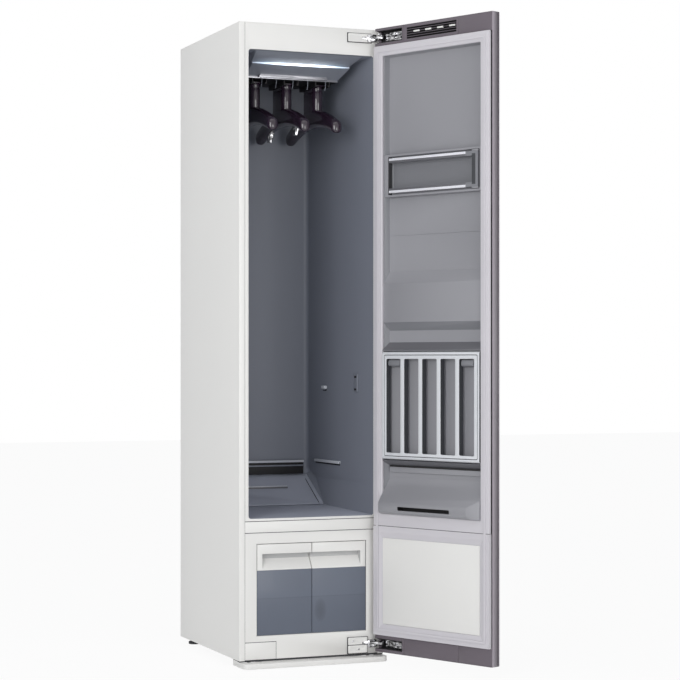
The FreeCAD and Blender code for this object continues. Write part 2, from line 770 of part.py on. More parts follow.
def service_cover():
    """The small flap at the lower left, which folds down about its foot."""
    low = (-panel_edge, s.casing_bottom + s.service_cover_opening)
    high = (-panel_edge + s.service_cover_width - s.seam, s.service_cover_top - s.seam)
    cover = Piece("service_cover").pad("y", front, front_back, rectangle(low, high))
    keep("service_cover", cover)


# ---------------------------------------------------------------- cavity


def cavity_tub():
    """The moulded cavity: its side walls lean in and its floor rises towards the back."""
    w = s.tub_wall
    floor_far = s.cavity_bottom + s.tub_floor_rise
    front_out, back_out = cavity_half + w, tub_back_half + w
    outer = taper(
        (front_back, -front_out, front_out, s.cavity_bottom - w, cavity_top + w),
        (tub_back, -back_out, back_out, floor_far - w, cavity_top + w),
    )
    inner = taper(
        (front_back, -cavity_half, cavity_half, s.cavity_bottom, cavity_top),
        (tub_back - w, -tub_back_half, tub_back_half, floor_far, cavity_top),
    )
    half, top = return_half, s.return_bottom + s.return_height
    opening = block((-half, tub_back - w * 2, s.return_bottom), (half, tub_back + w, top))
    keep("cavity_tub", without(outer, inner, opening))


def wall_half_at(y):
    """Half the cavity's inner width at a depth."""
    share = (y - front_back) / (tub_back - s.tub_wall - front_back)
    return cavity_half - share * s.tub_taper


def floor_at(y):
    share = (y - front_back) / (tub_back - s.tub_wall - front_back)
    return s.cavity_bottom + share * s.tub_floor_rise


ramp_back = tub_back - s.tub_wall - s.seam
ramp_front = ramp_back - s.ramp_length
ramp_foot = floor_at(ramp_back) + s.seam
filter_back = ramp_back - s.filter_back_gap
filter_front = filter_back - s.filter_thickness
filter_centre = s.filter_side - tub_back_half


def ramp_surface(y):
    return ramp_foot + s.ramp_wall + (y - ramp_front) / s.ramp_length * (s.ramp_height - s.ramp_wall)


def rear_ramp():
    """The sloped cover over the drain and the lint filter, open below."""
    w = s.ramp_wall
    half = wall_half_at(ramp_back) - s.seam
    outline = [
        (ramp_front, ramp_foot),
        (ramp_front + w * 2, ramp_foot),
        (ramp_back - w, ramp_foot + s.ramp_height - w * 2),
        (ramp_back - w, ramp_foot),
        (ramp_back, ramp_foot),
        (ramp_back, ramp_foot + s.ramp_height),
        (ramp_front, ramp_foot + w),
    ]
    ramp = Piece("rear_ramp").pad("x", -half, half, outline)
    left = filter_centre - s.filter_width / 2 - s.slide_gap
    right = filter_centre + s.filter_width / 2 + s.slide_gap
    hole = rectangle((left, filter_front - s.slide_gap), (right, filter_back + s.slide_gap))
    ramp.cut("z", ramp_foot, ramp_foot + s.ramp_height, hole)
    keep("rear_ramp", ramp)


def lint_filter():
    """A framed screen that stands in the ramp and lifts straight out by its grip."""
    left, right = filter_centre - s.filter_width / 2, filter_centre + s.filter_width / 2
    bottom = ramp_foot
    top = ramp_surface(filter_front) + s.filter_grip
    screen = Piece("lint_filter").pad("z", bottom, top, rectangle((left, filter_front), (right, filter_back)))
    w = s.ramp_wall
    window = rectangle((left + w * 2, bottom + w * 2), (right - w * 2, ramp_surface(filter_front) - w * 2))
    screen.cut("y", filter_front, filter_back - w, window)
    keep("lint_filter", screen)


def air_return_grille():
    """Bars in a frame in front of the air return opening."""
    half = return_half - s.seam
    low, high = s.return_bottom + s.seam, s.return_bottom + s.return_height - s.seam
    near, far = tub_back - s.tub_wall - s.grille_depth, tub_back
    b = s.grille_bar
    grille = Piece("air_return_grille").pad("y", near, far, rectangle((-half, low), (half, high)))
    grille.cut("y", near, far, rectangle((b - half, low + b), (half - b, high - b)))
    middle = (low + high) / 2
    grille.pad("y", far - b, far, rectangle((-half, middle - b / 2), (half, middle + b / 2)))
    keep("air_return_grille", grille)


head_half = s.head_width / 2
rail_near = front + s.module_bar
bar_far = rail_near - s.seam
bar_near = bar_far - s.bar_depth
head_bottom = module_bottom - s.rail_height + s.rail_lip + s.layer_gap


def hanger_rails():
    """Three channels under the module. Each carries the head of a hanger on two lips."""
    rails = []
    lip = s.neck_width / 2 + s.slide_gap * 3
    inner = head_half + s.slide_gap
    outer = inner + s.rail_wall
    bottom = module_bottom - s.rail_height
    far = rail_near + s.rail_length
    for place_in_row in (-1, 0, 1):
        x = s.hanger_pitch * place_in_row
        end = far - s.rail_wall
        channel = block((x - outer, rail_near, bottom), (x + outer, far, module_bottom))
        room = block((x - inner, rail_near, bottom + s.rail_lip), (x + inner, end, module_bottom))
        slot = block((x - lip, rail_near, bottom), (x + lip, end, module_bottom))
        rails.append(without(channel, room, slot))
    return rails


def ceiling_module():
    """The housing under the cavity roof: a slanted front, the light, and the rails of the hangers."""
    y = [front + d for d in (s.module_front, s.module_light, s.module_bar, s.module_back)]
    top = cavity_top - s.seam
    profile = [
        (y[0], top),
        (y[1], light_top),
        (y[1], light_bottom),
        (y[2], module_bottom + s.bar_height),
        (y[2], module_bottom),
        (y[3], module_bottom),
        (y[3], top),
    ]
    wide = cavity_half - s.module_side
    middle = cavity_half - s.module_light_side
    narrow = cavity_half - s.module_bottom_side
    outline = [
        (-wide, top),
        (-middle, light_top),
        (-narrow, module_bottom),
        (narrow, module_bottom),
        (middle, light_top),
        (wide, top),
    ]
    side_view = Piece("module_side_view").pad("x", -wide, wide, profile)
    front_view = Piece("module_front_view").pad("y", y[0], y[3], outline)
    w = s.module_wall
    hollow = block((w - narrow, y[2] + w, module_bottom + w), (narrow - w, y[3] - w, top))
    lens_room = block(
        (-middle, y[1], light_bottom), (middle, y[1] + s.lens_depth + s.seam, light_top)
    )
    plate_half = s.plate_width / 2 + s.plate_rise + s.seam
    plate_top = module_bottom + s.bar_height + s.plate_rise + s.seam
    plate_room = block((-plate_half, bar_near - s.seam, module_bottom), (plate_half, rail_near, plate_top))
    housing = without(shared(side_view.body, front_view.body), hollow, lens_room, plate_room)
    keep("ceiling_module", joined(housing, *hanger_rails()))


def light_lens():
    near = front + s.module_light
    half = cavity_half - s.module_light_side - s.seam
    lens = Piece("light_lens").pad(
        "y",
        near,
        near + s.lens_depth,
        rectangle((-half, light_bottom + s.seam), (half, light_top - s.seam)),
    )
    keep("light_lens", lens)


def hanger_bar():
    """The trim bar in front of the rails: a raised middle plate and two wire stops between the hangers."""
    half, plate = cavity_half - s.module_bottom_side, s.plate_width / 2
    top, high = module_bottom + s.bar_height, module_bottom + s.bar_height + s.plate_rise
    outline = [
        (-half, module_bottom),
        (half, module_bottom),
        (half - s.bar_height, top),
        (plate + s.plate_rise, top),
        (plate, high),
        (-plate, high),
        (-plate - s.plate_rise, top),
        (s.bar_height - half, top),
    ]
    bar = Piece("hanger_bar").pad("y", bar_near, bar_far, outline)
    wires = []
    for side in (-1, 1):
        foot = (s.hanger_pitch / 2 * side, (bar_near + bar_far) / 2, module_bottom - s.wire_drop)
        wires.append(rod("z", foot, s.wire_radius, s.wire_drop + s.bar_height / 2))
    keep("hanger_bar", joined(bar.body, *wires))


def hanger(name, place_in_row, with_clips):
    """An air hanger: head, wide hollow neck and two drooping arms that run front to back."""
    x = s.hanger_pitch * place_in_row
    neck_low, neck_high = front + s.neck_front, front + s.neck_front + s.neck_length
    middle = (neck_low + neck_high) / 2
    half_neck, half_span = s.neck_length / 2, s.shoulder_span / 2
    tip = neck_bottom - s.shoulder_drop
    depth = s.shoulder_depth
    upper = [
        (s.shoulder_start - half_neck, neck_bottom),
        (-half_span * 0.6, neck_bottom - depth),
        (-half_span * 0.94, tip + depth),
        (-half_span, tip + depth * 0.4),
        (-half_span * 0.97, tip),
    ]
    lower = [(-half_span * 0.9, tip + depth * 0.2), (-half_span * 0.58, neck_bottom - depth * 2)]
    left = upper + lower
    centre = [(Size(0, "0"), neck_bottom - depth)]
    outline = [(middle + y, z) for y, z in left + centre] + [(middle - y, z) for y, z in reversed(left)]
    half = s.shoulder_width / 2
    piece = Piece(name).pad("x", x - half, x + half, outline)
    neck = s.neck_width / 2
    neck_outline = rectangle((x - neck, neck_low), (x + neck, neck_high))
    piece.pad("z", neck_bottom - depth / 2, head_bottom, neck_outline)
    head = rectangle((x - head_half, neck_low), (x + head_half, neck_high))
    piece.pad("z", head_bottom, head_bottom + s.head_height, head)
    w = s.hanger_wall
    hollow = rectangle((x - neck + w, neck_low + w), (x + neck - w, neck_high - w))
    piece.cut("z", neck_bottom, head_bottom + s.head_height, hollow)
    if with_clips:
        add_clip_plates(piece, middle)
    keep(name, piece)


def clip_levels():
    """Top, pin height and bottom of a trouser clip under the middle hanger's arms."""
    top = neck_bottom - s.clip_drop
    bottom = top - s.clip_height
    return top, bottom + s.clip_height * 0.7, bottom


def clip_centres():
    middle = front + s.neck_front + s.neck_length / 2
    return middle - s.clip_spread / 2, middle + s.clip_spread / 2


def add_clip_plates(piece, middle):
    """The fixed jaw of each clip, with the two ears that carry the moving jaw's pin."""
    top, pin_height, bottom = clip_levels()
    half = s.clip_width / 2
    for y in clip_centres():
        piece.pad("y", y - half, y + half, rectangle((-s.jaw_thickness, bottom), (0, top + s.clip_root)))
        for side in (-1, 1):
            outer, inner = y + half * side, y + (half - s.jaw_thickness) * side
            low, high = (outer, inner) if side < 0 else (inner, outer)
            reach = s.jaw_pin_radius * 2
            ear = rectangle((0, pin_height - reach), (jaw_pin_x() + reach, pin_height + reach))
            piece.pad("y", low, high, ear)
            hole = circle((jaw_pin_x(), pin_height), s.jaw_pin_radius + s.running_gap)
            piece.cut("y", low, high, hole)


def jaw_pin_x():
    return s.jaw_thickness * 2.4


def clip_jaw(name, y):
    """A moving jaw: the plate that grips, its finger tab above the pin, and the pin."""
    top, pin_height, bottom = clip_levels()
    half = s.clip_width / 2
    inside = half - s.jaw_thickness - s.layer_gap
    face = s.jaw_gap
    outline = [
        (face, bottom),
        (face + s.jaw_thickness, bottom),
        (jaw_pin_x() + s.jaw_thickness, pin_height),
        (jaw_pin_x() + s.jaw_thickness * 2, top - s.layer_gap * 2),
        (jaw_pin_x() + s.jaw_thickness, top - s.layer_gap * 2),
        (jaw_pin_x() - s.jaw_thickness, pin_height),
    ]
    jaw = Piece(name).pad("y", y - inside, y + inside, outline)
    jaw.pad("y", y - half, y + half, circle((jaw_pin_x(), pin_height), s.jaw_pin_radius))
    keep(name, jaw)


def wall_fittings():
    """On each side wall: the hook plate and the tab that take the shelf, and a low ledge."""
    pieces = []
    for side in (-1, 1):
        for centre, length, bottom, height in (
            (front + s.hook_depth, s.hook_width, s.hook_bottom, s.hook_height),
            (front + s.tab_depth, s.tab_width, s.tab_bottom, s.tab_height),
            (front + s.ledge_front + s.ledge_length / 2, s.ledge_length, s.ledge_height, s.ledge_thickness),
        ):
            near, far = centre - length / 2, centre + length / 2
            ends = []
            for y in (near, far):
                wall = (wall_half_at(y) - s.layer_gap) * side
                proud = wall - s.hook_proud * side
                low, high = (proud, wall) if side > 0 else (wall, proud)
                ends.append((y, low, high, bottom, bottom + height))
            pieces.append(taper(*ends))
    keep("wall_fittings", group(*pieces))


# ---------------------------------------------------------------- tanks


tank_back = front + s.tank_length


def tank_bay():
    """The open box behind the lower fascia that the tanks slide into."""
    w = s.bay_wall
    top = s.bay_top + s.bay_headroom
    outer = rectangle((-bay_half - w, s.bay_bottom - w), (bay_half + w, top))
    inner = rectangle((-bay_half, s.bay_bottom), (bay_half, top - w))
    bay = Piece("tank_bay").pad("y", front_back, bay_back, outer)
    bay.cut("y", front_back, bay_back - w, inner)
    keep("tank_bay", bay)


def tank_sides(side):
    """Inner and outer end of a tank across the cabinet, lowest first."""
    near, far = s.slide_gap * side, (bay_half - s.slide_gap) * side
    return (far, near) if side < 0 else (near, far)


tank_bottom = s.bay_bottom + s.slide_gap
tank_top = s.bay_top - s.slide_gap


def tank_shell(name, side):
    """The clear lower part of a tank, open at the top."""
    low, high = tank_sides(side)
    w = s.tank_wall
    outline = rectangle((low, front), (high, tank_back))
    room = rectangle((low + w, front + w), (high - w, tank_back - w))
    shell = Piece(name).pad("z", tank_bottom, s.tank_glass_top, outline)
    shell.cut("z", tank_bottom + w, s.tank_glass_top, room)
    shell.round(w * 0.6, "z", *outline)
    keep(name, shell)


def lid_centre(side):
    return (bay_half / 2) * side


def lid_span():
    far = tank_back - s.lid_back
    return far - s.lid_length, far


def tank_cap(name, side):
    """The white upper part: a hollow cap with a hand recess in front and a filler hole behind."""
    low, high = tank_sides(side)
    w = s.tank_wall
    cap = Piece(name).pad("z", s.tank_glass_top, tank_top, rectangle((low, front), (high, tank_back)))
    recess_far = front + s.grip_depth
    room = rectangle((low + w, recess_far + w), (high - w, tank_back - w))
    cap.cut("z", s.tank_glass_top, tank_top - w * 2, room)
    outline = [
        (front, s.grip_top),
        (recess_far, s.grip_top),
        (recess_far, s.grip_knee),
        (front, s.grip_bottom),
    ]
    edge = (bay_half - s.grip_side) * side
    start, end = (edge, high) if side < 0 else (low, edge)
    cap.cut("x", start, end, outline)
    x = lid_centre(side)
    near, far = lid_span()
    half = s.lid_width / 2
    seat = rectangle((x - half - w / 4, near - w / 4), (x + half + w / 4, far + w / 4))
    rim = s.lid_rim
    hole = rectangle((x - half + rim, near + rim), (x + half - rim, far - rim))
    cap.cut("z", tank_top - s.lid_thickness - s.seam / 2, tank_top, seat)
    cap.cut("z", tank_top - w * 2, tank_top, hole)
    keep(name, cap)


def tank_lid(name, side):
    x = lid_centre(side)
    near, far = lid_span()
    half = s.lid_width / 2
    outline = rectangle((x - half, near), (x + half, far))
    lid = Piece(name).pad("z", tank_top - s.lid_thickness, tank_top, outline)
    keep(name, lid)


def tank_float():
    """The level float in the right tank. It stands on the tank floor when the tank is empty."""
    low = s.slide_gap + s.tank_wall + s.float_inset
    near = front + s.tank_wall + s.float_inset
    bottom = tank_bottom + s.tank_wall + s.layer_gap
    shape = rectangle((low, near), (low + s.float_width, near + s.float_length))
    piece = Piece("drain_tank_float").pad("z", bottom, bottom + s.float_height, shape)
    piece.round(s.float_inset / 2, "z", *shape)
    keep("drain_tank_float", piece)


# ---------------------------------------------------------------- door, modelled shut


def along(u):
    """X of a point that lies u from the hinge edge of the shut door."""
    return hinge_edge - u


def door_rectangle(start, end, bottom, top):
    return rectangle((along(end), bottom), (along(start), top))


def door_slab(start, end, bottom, top, near, far):
    """A block on the shut door, from u to u, from height to height and from depth to depth."""
    return block((along(end), near, bottom), (along(start), far, top))


def cup_levels():
    top = s.cabinet_height - s.top_cup_drop
    bottom = s.bottom_cup_bottom
    return (top, top + s.top_cup_height), (bottom, bottom + s.bottom_cup_height)


def door_face():
    """The flat front panel of the door."""
    face = Piece("door_front_panel")
    outline = rectangle((along(door_width), door_outer), (along(0), door_outer + s.face_thickness))
    face.pad("z", s.door_bottom, s.cabinet_height, outline)
    face.round(s.face_corner, "z", (along(door_width), door_outer), (along(0), door_outer))
    keep("door_front_panel", face, on_door=True)


def door_shell():
    """The pressed pan behind the front panel, open towards the cabinet: its skin and its four sides."""
    w = s.door_skin
    near = door_outer + s.face_thickness + s.face_gap
    notch = door_inner - s.cup_notch
    low, high = s.door_bottom, s.cabinet_height
    panels = [
        door_slab(0, door_width, low, high, near, near + w),
        door_slab(door_width - w, door_width, low, high, near + w, door_inner),
        door_slab(w, door_width - w, low, low + w, near + w, door_inner),
        door_slab(w, door_width - w, high - w, high, near + w, door_inner),
        door_slab(0, w, low, high, near + w, notch),
    ]
    for cup_low, cup_high in reversed(cup_levels()):
        panels.append(door_slab(0, w, low, cup_low, notch, door_inner))
        low = cup_high
    panels.append(door_slab(0, w, low, high, notch, door_inner))
    keep("door_shell", group(*panels), on_door=True)


def rail_core(name, bottom, top, cup):
    """The plain rail over or under the liner, with its hinge pocket."""
    w = s.door_skin + s.seam / 2
    near = door_outer + s.face_thickness + s.face_gap + w
    rail = Piece(name).pad("y", near, door_inner, door_rectangle(w, door_width - w, bottom, top))
    low, high = cup
    rail.cut("y", door_inner - s.cup_depth, door_inner, door_rectangle(s.cup_start, s.cup_end, low, high))
    rail.cut("y", door_inner - s.cup_notch, door_inner, door_rectangle(w, s.cup_start, low, high))
    return rail


def door_rails():
    w = s.door_skin + s.seam / 2
    top_cup, bottom_cup = cup_levels()
    top = rail_core("door_top_rail", liner_top, s.cabinet_height - w, top_cup)
    gaps = int(s.vent_bars.value) + 1
    opening = (s.vent_height - s.vent_bar * s.vent_bars) / gaps
    slots = []
    for i in range(gaps):
        low = s.cabinet_height - s.vent_drop + (opening + s.vent_bar) * i
        slots.append(door_rectangle(s.vent_start, door_width - s.vent_end, low, low + opening))
    top.cut("y", door_inner - s.vent_depth, door_inner, *slots)
    keep("door_top_rail", top, on_door=True)
    bottom = rail_core("door_bottom_rail", s.door_bottom + w, liner_bottom, bottom_cup)
    keep("door_bottom_rail", bottom, on_door=True)


def recess_outline(margin=0):
    start, end = s.recess_side - margin, s.recess_side + recess_width + margin
    return door_rectangle(start, end, s.recess_bottom - margin, recess_top + margin)


def upper_liner_frame():
    frame = Piece("upper_liner_frame")
    outer = door_rectangle(s.liner_edge, liner_end, s.liner_split + s.seam / 2, liner_top)
    frame.pad("y", door_inner, liner_face, outer)
    frame.cut("y", door_inner, liner_face, recess_outline())
    keep("upper_liner_frame", frame, on_door=True)


def insert_outline(margin=0):
    start, end = s.recess_side + margin, door_width - s.insert_far - margin
    return door_rectangle(start, end, s.insert_bottom + margin, s.insert_top - margin)


def lower_liner_frame():
    """The lower frame, with a shallow seat for the white insert."""
    frame = Piece("lower_liner_frame")
    outer = door_rectangle(s.liner_edge, liner_end, liner_bottom, s.liner_split - s.seam / 2)
    frame.pad("y", door_inner, liner_face, outer)
    frame.cut("y", door_inner + s.insert_sunk, liner_face, insert_outline())
    keep("lower_liner_frame", frame, on_door=True)


def lower_insert():
    piece = Piece("lower_insert")
    piece.pad("y", door_inner + s.insert_sunk, liner_face - s.insert_sunk, insert_outline(s.seam))
    keep("lower_insert", piece, on_door=True)


def shelf_slots():
    """The outlines of the shelf's slots, as (start, end, bottom, top)."""
    bottom = s.shelf_bottom + s.slot_bottom
    for i in range(int(s.slot_count.value)):
        start = s.recess_side - s.shelf_shift + s.slot_first + s.slot_pitch * i
        yield start, start + s.slot_width, bottom, s.shelf_bottom + s.shelf_height - s.slot_head


def shelf_clips():
    """The outlines of the tabs that reach through the shelf's first and last slot and hold it."""
    slots = list(shelf_slots())
    clips = []
    for start, end, bottom, top in (slots[0], slots[-1]):
        clip_top = top - s.layer_gap
        left, right = start + s.clip_margin, end - s.clip_margin
        clips.append((left, right, clip_top - s.clip_tab_height, clip_top))
    return clips


def liner_tray(w):
    """The floor and the four walls of the recess, each a flat plate."""
    start, end = s.recess_side, s.recess_side + recess_width
    low, high = s.recess_bottom, recess_top
    rim = door_inner - s.seam / 2
    return [
        door_slab(start - w, end + w, low - w, high + w, recess_floor - w, recess_floor),
        door_slab(start - w, start, low - w, high + w, recess_floor, rim),
        door_slab(end, end + w, low - w, high + w, recess_floor, rim),
        door_slab(start, end, low - w, low, recess_floor, rim),
        door_slab(start, end, high, high + w, recess_floor, rim),
    ]


def upper_liner():
    """The recessed tray: floor, walls, the relief, the shelf's seat and tabs, and the ledge under it."""
    start, end = along(s.recess_side + recess_width), along(s.recess_side)
    peak = recess_floor + s.bulge_height
    face_low = s.bulge_bottom + s.bulge_turn
    face_high = face_low + s.bulge_flat
    relief_top = face_high + s.bulge_ramp
    relief = [
        (recess_floor, relief_top),
        (recess_floor, s.bulge_bottom),
        (peak, face_low),
        (peak, face_high),
    ]
    parts = liner_tray(s.liner_wall)
    parts.append(Piece("liner_relief").pad("x", start, end, relief).body)
    for name, wall, foot in (
        ("liner_far_slope", start, start + s.recess_slope),
        ("liner_near_slope", end, end - s.recess_slope),
    ):
        lean = [(wall, recess_floor), (foot, recess_floor), (wall, door_inner - s.seam / 2)]
        parts.append(Piece(name).pad("z", relief_top, recess_top, lean).body)
    shelf_top = s.shelf_bottom + s.shelf_height
    for name, edge, rise in (
        ("liner_roof", shelf_top + s.seat_gap, s.seat_roof),
        ("liner_sill", s.shelf_bottom - s.seat_gap, -s.seat_sill),
    ):
        slope = [(recess_floor, edge), (recess_floor + s.seat_reach, edge), (recess_floor, edge + rise)]
        parts.append(Piece(name).pad("x", start, end, slope).body)
    inset = s.ledge_lip_inset
    left, right = s.recess_side + inset, s.recess_side + recess_width - inset
    ledge_top = s.ledge_lip_bottom + s.ledge_lip_height
    parts.append(
        door_slab(left, right, s.ledge_lip_bottom, ledge_top, recess_floor, recess_floor + s.clip_depth)
    )
    clip_face = door_inner + s.shelf_front - s.clip_depth
    for left, right, bottom, top in shelf_clips():
        parts.append(door_slab(left, right, bottom, top, recess_floor, clip_face))
    keep("upper_liner", group(*parts), on_door=True)


def door_scoop():
    """The bulge at the foot of the upper liner that catches drips, with its drain slot."""
    w = s.scoop_wall
    gap = s.layer_gap
    back_face = recess_floor + gap
    nose, lip = door_inner + s.scoop_out, door_inner + s.scoop_lip
    bottom = s.recess_bottom + gap
    shoulder = (s.scoop_nose * 2 + s.scoop_top) / 3
    outline = [
        (back_face, bottom),
        (lip, bottom),
        (nose - w, s.scoop_nose - w * 4),
        (nose, s.scoop_nose),
        (nose - w, shoulder),
        (back_face, s.scoop_top),
    ]
    hollow = [
        (back_face, bottom + w),
        (lip - w, bottom + w),
        (nose - w * 2, s.scoop_nose - w * 3),
        (nose - w * 2, s.scoop_nose + w),
        (back_face, s.scoop_top - w * 3),
    ]
    start, end = along(s.recess_side + recess_width - gap), along(s.recess_side + gap)
    scoop = Piece("door_scoop").pad("x", start, end, outline)
    scoop.cut("x", start + w, end - w, hollow)
    slot_low, slot_far = s.scoop_slot_bottom, door_width - s.scoop_slot_end
    slot = door_rectangle(s.scoop_slot_start, slot_far, slot_low, slot_low + s.scoop_slot_height)
    scoop.cut("y", back_face + w, nose, slot)
    keep("door_scoop", scoop, on_door=True)


def door_gasket():
    """The seal that runs round the liner frame's face."""
    g = s.gasket_inset + s.liner_edge
    low, high = g, liner_end - s.gasket_inset
    bottom, top = liner_bottom + s.gasket_inset, liner_top - s.gasket_inset
    w = s.gasket_width
    gasket = Piece("door_gasket")
    gasket.pad("y", liner_face, liner_face + s.gasket_height, door_rectangle(low, high, bottom, top))
    inner = door_rectangle(low + w, high - w, bottom + w, top - w)
    gasket.cut("y", liner_face, liner_face + s.gasket_height, inner)
    gasket.round(w, "y", *door_rectangle(low, high, bottom, top))
    keep("door_gasket", gasket, on_door=True)


# ---------------------------------------------------------------- fittings on the door


def door_shelf():
    """The slatted shelf stored on the door."""
    near = door_inner + s.shelf_front - s.shelf_thickness
    far = door_inner + s.shelf_front
    edge = s.recess_side - s.shelf_shift
    start = edge + s.seam * 2
    end = edge + recess_width + s.shelf_over - s.seam * 4
    shelf = Piece("door_shelf")
    shelf.pad("y", near, far, door_rectangle(start, end, s.shelf_bottom, s.shelf_bottom + s.shelf_height))
    shelf.cut("y", near, far, *[door_rectangle(*slot) for slot in shelf_slots()])
    keep("door_shelf", shelf, on_door=True)


arm_end = door_width - s.arm_far


def arm_levels():
    lower = s.arm_bottom
    return lower, lower + s.arm_pitch


def rail_arm():
    """Two bars joined by a yoke, which swing out from the door about an upright pin."""
    far = door_inner + s.arm_front
    near = far - s.arm_bar_depth
    lower, upper = arm_levels()
    top = upper + s.arm_bar_height
    arm = Piece("rail_arm")
    yoke = door_rectangle(arm_end, arm_end + s.yoke_width, lower, top)
    arm.pad("y", near, far, yoke)
    for level in (lower, upper):
        bar = door_rectangle(s.arm_start, arm_end, level, level + s.arm_bar_height)
        arm.pad("y", near, far, bar)
    pin_spot = (along(arm_end + s.yoke_width / 2), (near + far) / 2)
    pin_reach = s.bracket_thickness + s.layer_gap
    arm.pad("z", lower - pin_reach, top + pin_reach, circle(pin_spot, s.arm_pin_radius))
    keep("rail_arm", arm, on_door=True)


def rail_bracket():
    """Two ears on the liner that carry the arm's pin, joined by a back plate."""
    far = door_inner + s.arm_front
    near = far - s.arm_bar_depth
    lower, upper = arm_levels()
    gap, t = s.layer_gap, s.bracket_thickness
    low, high = lower - gap - t, upper + s.arm_bar_height + gap + t
    start, end = arm_end, arm_end + s.yoke_width + s.layer_gap * 2
    bracket = Piece("rail_bracket")
    bracket.pad("y", recess_floor, recess_floor + t, door_rectangle(start, end, low, high))
    spot = (along(arm_end + s.yoke_width / 2), (near + far) / 2)
    for bottom in (low, high - t):
        ear = rectangle((along(end), recess_floor), (along(start), far))
        bracket.pad("z", bottom, bottom + t, ear)
        bracket.cut("z", bottom, bottom + t, circle(spot, s.arm_pin_radius + s.running_gap))
    keep("rail_bracket", bracket, on_door=True)


# ---------------------------------------------------------------- hinges


def hinge_levels(cup):
    """The heights of the arm, the link over it and the eye under it, in one hinge pocket."""
    low, high = cup
    middle = (low + high) / 2
    arm = (middle - s.arm_thickness / 2, middle + s.arm_thickness / 2)
    link = (arm[1] + s.layer_gap, arm[1] + s.layer_gap + s.link_thickness)
    eye = (arm[0] - s.layer_gap - s.link_thickness, arm[0] - s.layer_gap)
    return arm, link, eye


def sloping_bar(low, high, length, width, degrees):
    """A flat bar that runs from the turning centre at an angle, seen from above."""
    bar = doc.addObject("Part::Box", "Bar")
    bind(bar, "Length", length)
    bind(bar, "Width", width)
    bind(bar, "Height", high - low)
    turn = f"rotation(vector(0; 0; 1); {degrees})"
    at = f"vector({pivot_x.formula}; {pivot_y.formula} - {width.formula} / 2; {low.formula})"
    centre = f"vector(0; {width.formula} / 2; 0)"
    bar.setExpression("Placement", f"placement({at}; {turn}; {centre})")
    return bar


def hinge_plate(cup, right, bottom, height):
    """The cover plate on the casing, the arm that reaches out to the turning centre, and the pin."""
    arm, link, eye = hinge_levels(cup)
    centre = (pivot_x, pivot_y)
    left = half_width - s.plate_start
    plate = block((left, front - s.plate_proud, bottom), (right, front, bottom + height))
    bar = sloping_bar(arm[0], arm[1], s.arm_reach, s.arm_width, s.arm_angle.formula)
    boss = rod("z", (*centre, arm[0]), s.boss_radius, s.arm_thickness)
    pin = rod("z", (*centre, eye[0]), s.pin_radius, link[1] - eye[0])
    root_right = half_width - s.arm_root_end
    root_left = root_right - s.arm_root_length
    root = block((root_left, front - s.plate_proud * 2, arm[0]), (root_right, front, arm[1]))
    return joined(plate, bar, boss, pin, root)


def hinge_plates():
    top_cup, bottom_cup = cup_levels()
    top_right, bottom_right = half_width - s.top_plate_end, half_width - s.bottom_plate_end
    top_plate_bottom = s.cabinet_height - s.top_plate_drop
    top = hinge_plate(top_cup, top_right, top_plate_bottom, s.top_plate_height)
    bottom = hinge_plate(bottom_cup, bottom_right, s.bottom_plate_bottom, s.bottom_plate_height)
    keep("hinge_plates", group(top, bottom))


def hinge_cup(cup):
    """The lining of a hinge pocket, with the eye that turns on the pin."""
    arm, link, eye = hinge_levels(cup)
    low, high = cup
    gap, w = s.layer_gap, s.cup_wall
    near, far = door_inner - s.cup_depth + gap, door_inner
    x_low, x_high = along(s.cup_end - gap), along(s.cup_start)
    outer = block((x_low, near, low + gap), (x_high, far, high - gap))
    room = block((x_low + w, near + w, low + gap + w), (x_high, far, high - gap - w))
    lug = block((pivot_x - s.boss_radius, near, eye[0]), (pivot_x + s.boss_radius, pivot_y, eye[1]))
    ring = rod("z", (pivot_x, pivot_y, eye[0]), s.boss_radius, s.link_thickness)
    hole = rod("z", (pivot_x, pivot_y, eye[0]), s.pin_radius + s.running_gap, s.link_thickness)
    return without(joined(without(outer, room), lug, ring), hole)


def hinge_cups():
    keep("hinge_cups", group(*[hinge_cup(cup) for cup in cup_levels()]), on_door=True)


def hinge_link(cup):
    """The middle link of a hinge. It turns on the pin by half of the door's angle."""
    arm, link, eye = hinge_levels(cup)
    half_turn = (s.link_angle + s.door_angle / 2).formula
    bar = sloping_bar(link[0], link[1], s.link_length, s.arm_width, half_turn)
    ring = rod("z", (pivot_x, pivot_y, link[0]), s.boss_radius, s.link_thickness)
    hole = rod("z", (pivot_x, pivot_y, link[0]), s.pin_radius + s.running_gap, s.link_thickness)
    return without(joined(bar, ring), hole)


def hinge_links():
    keep("hinge_links", group(*[hinge_link(cup) for cup in cup_levels()]))


# ---------------------------------------------------------------- machine parts in the base and the top


compressor_x = half_width - s.compressor_side - s.compressor_radius
compressor_y = back - s.compressor_back - s.compressor_radius


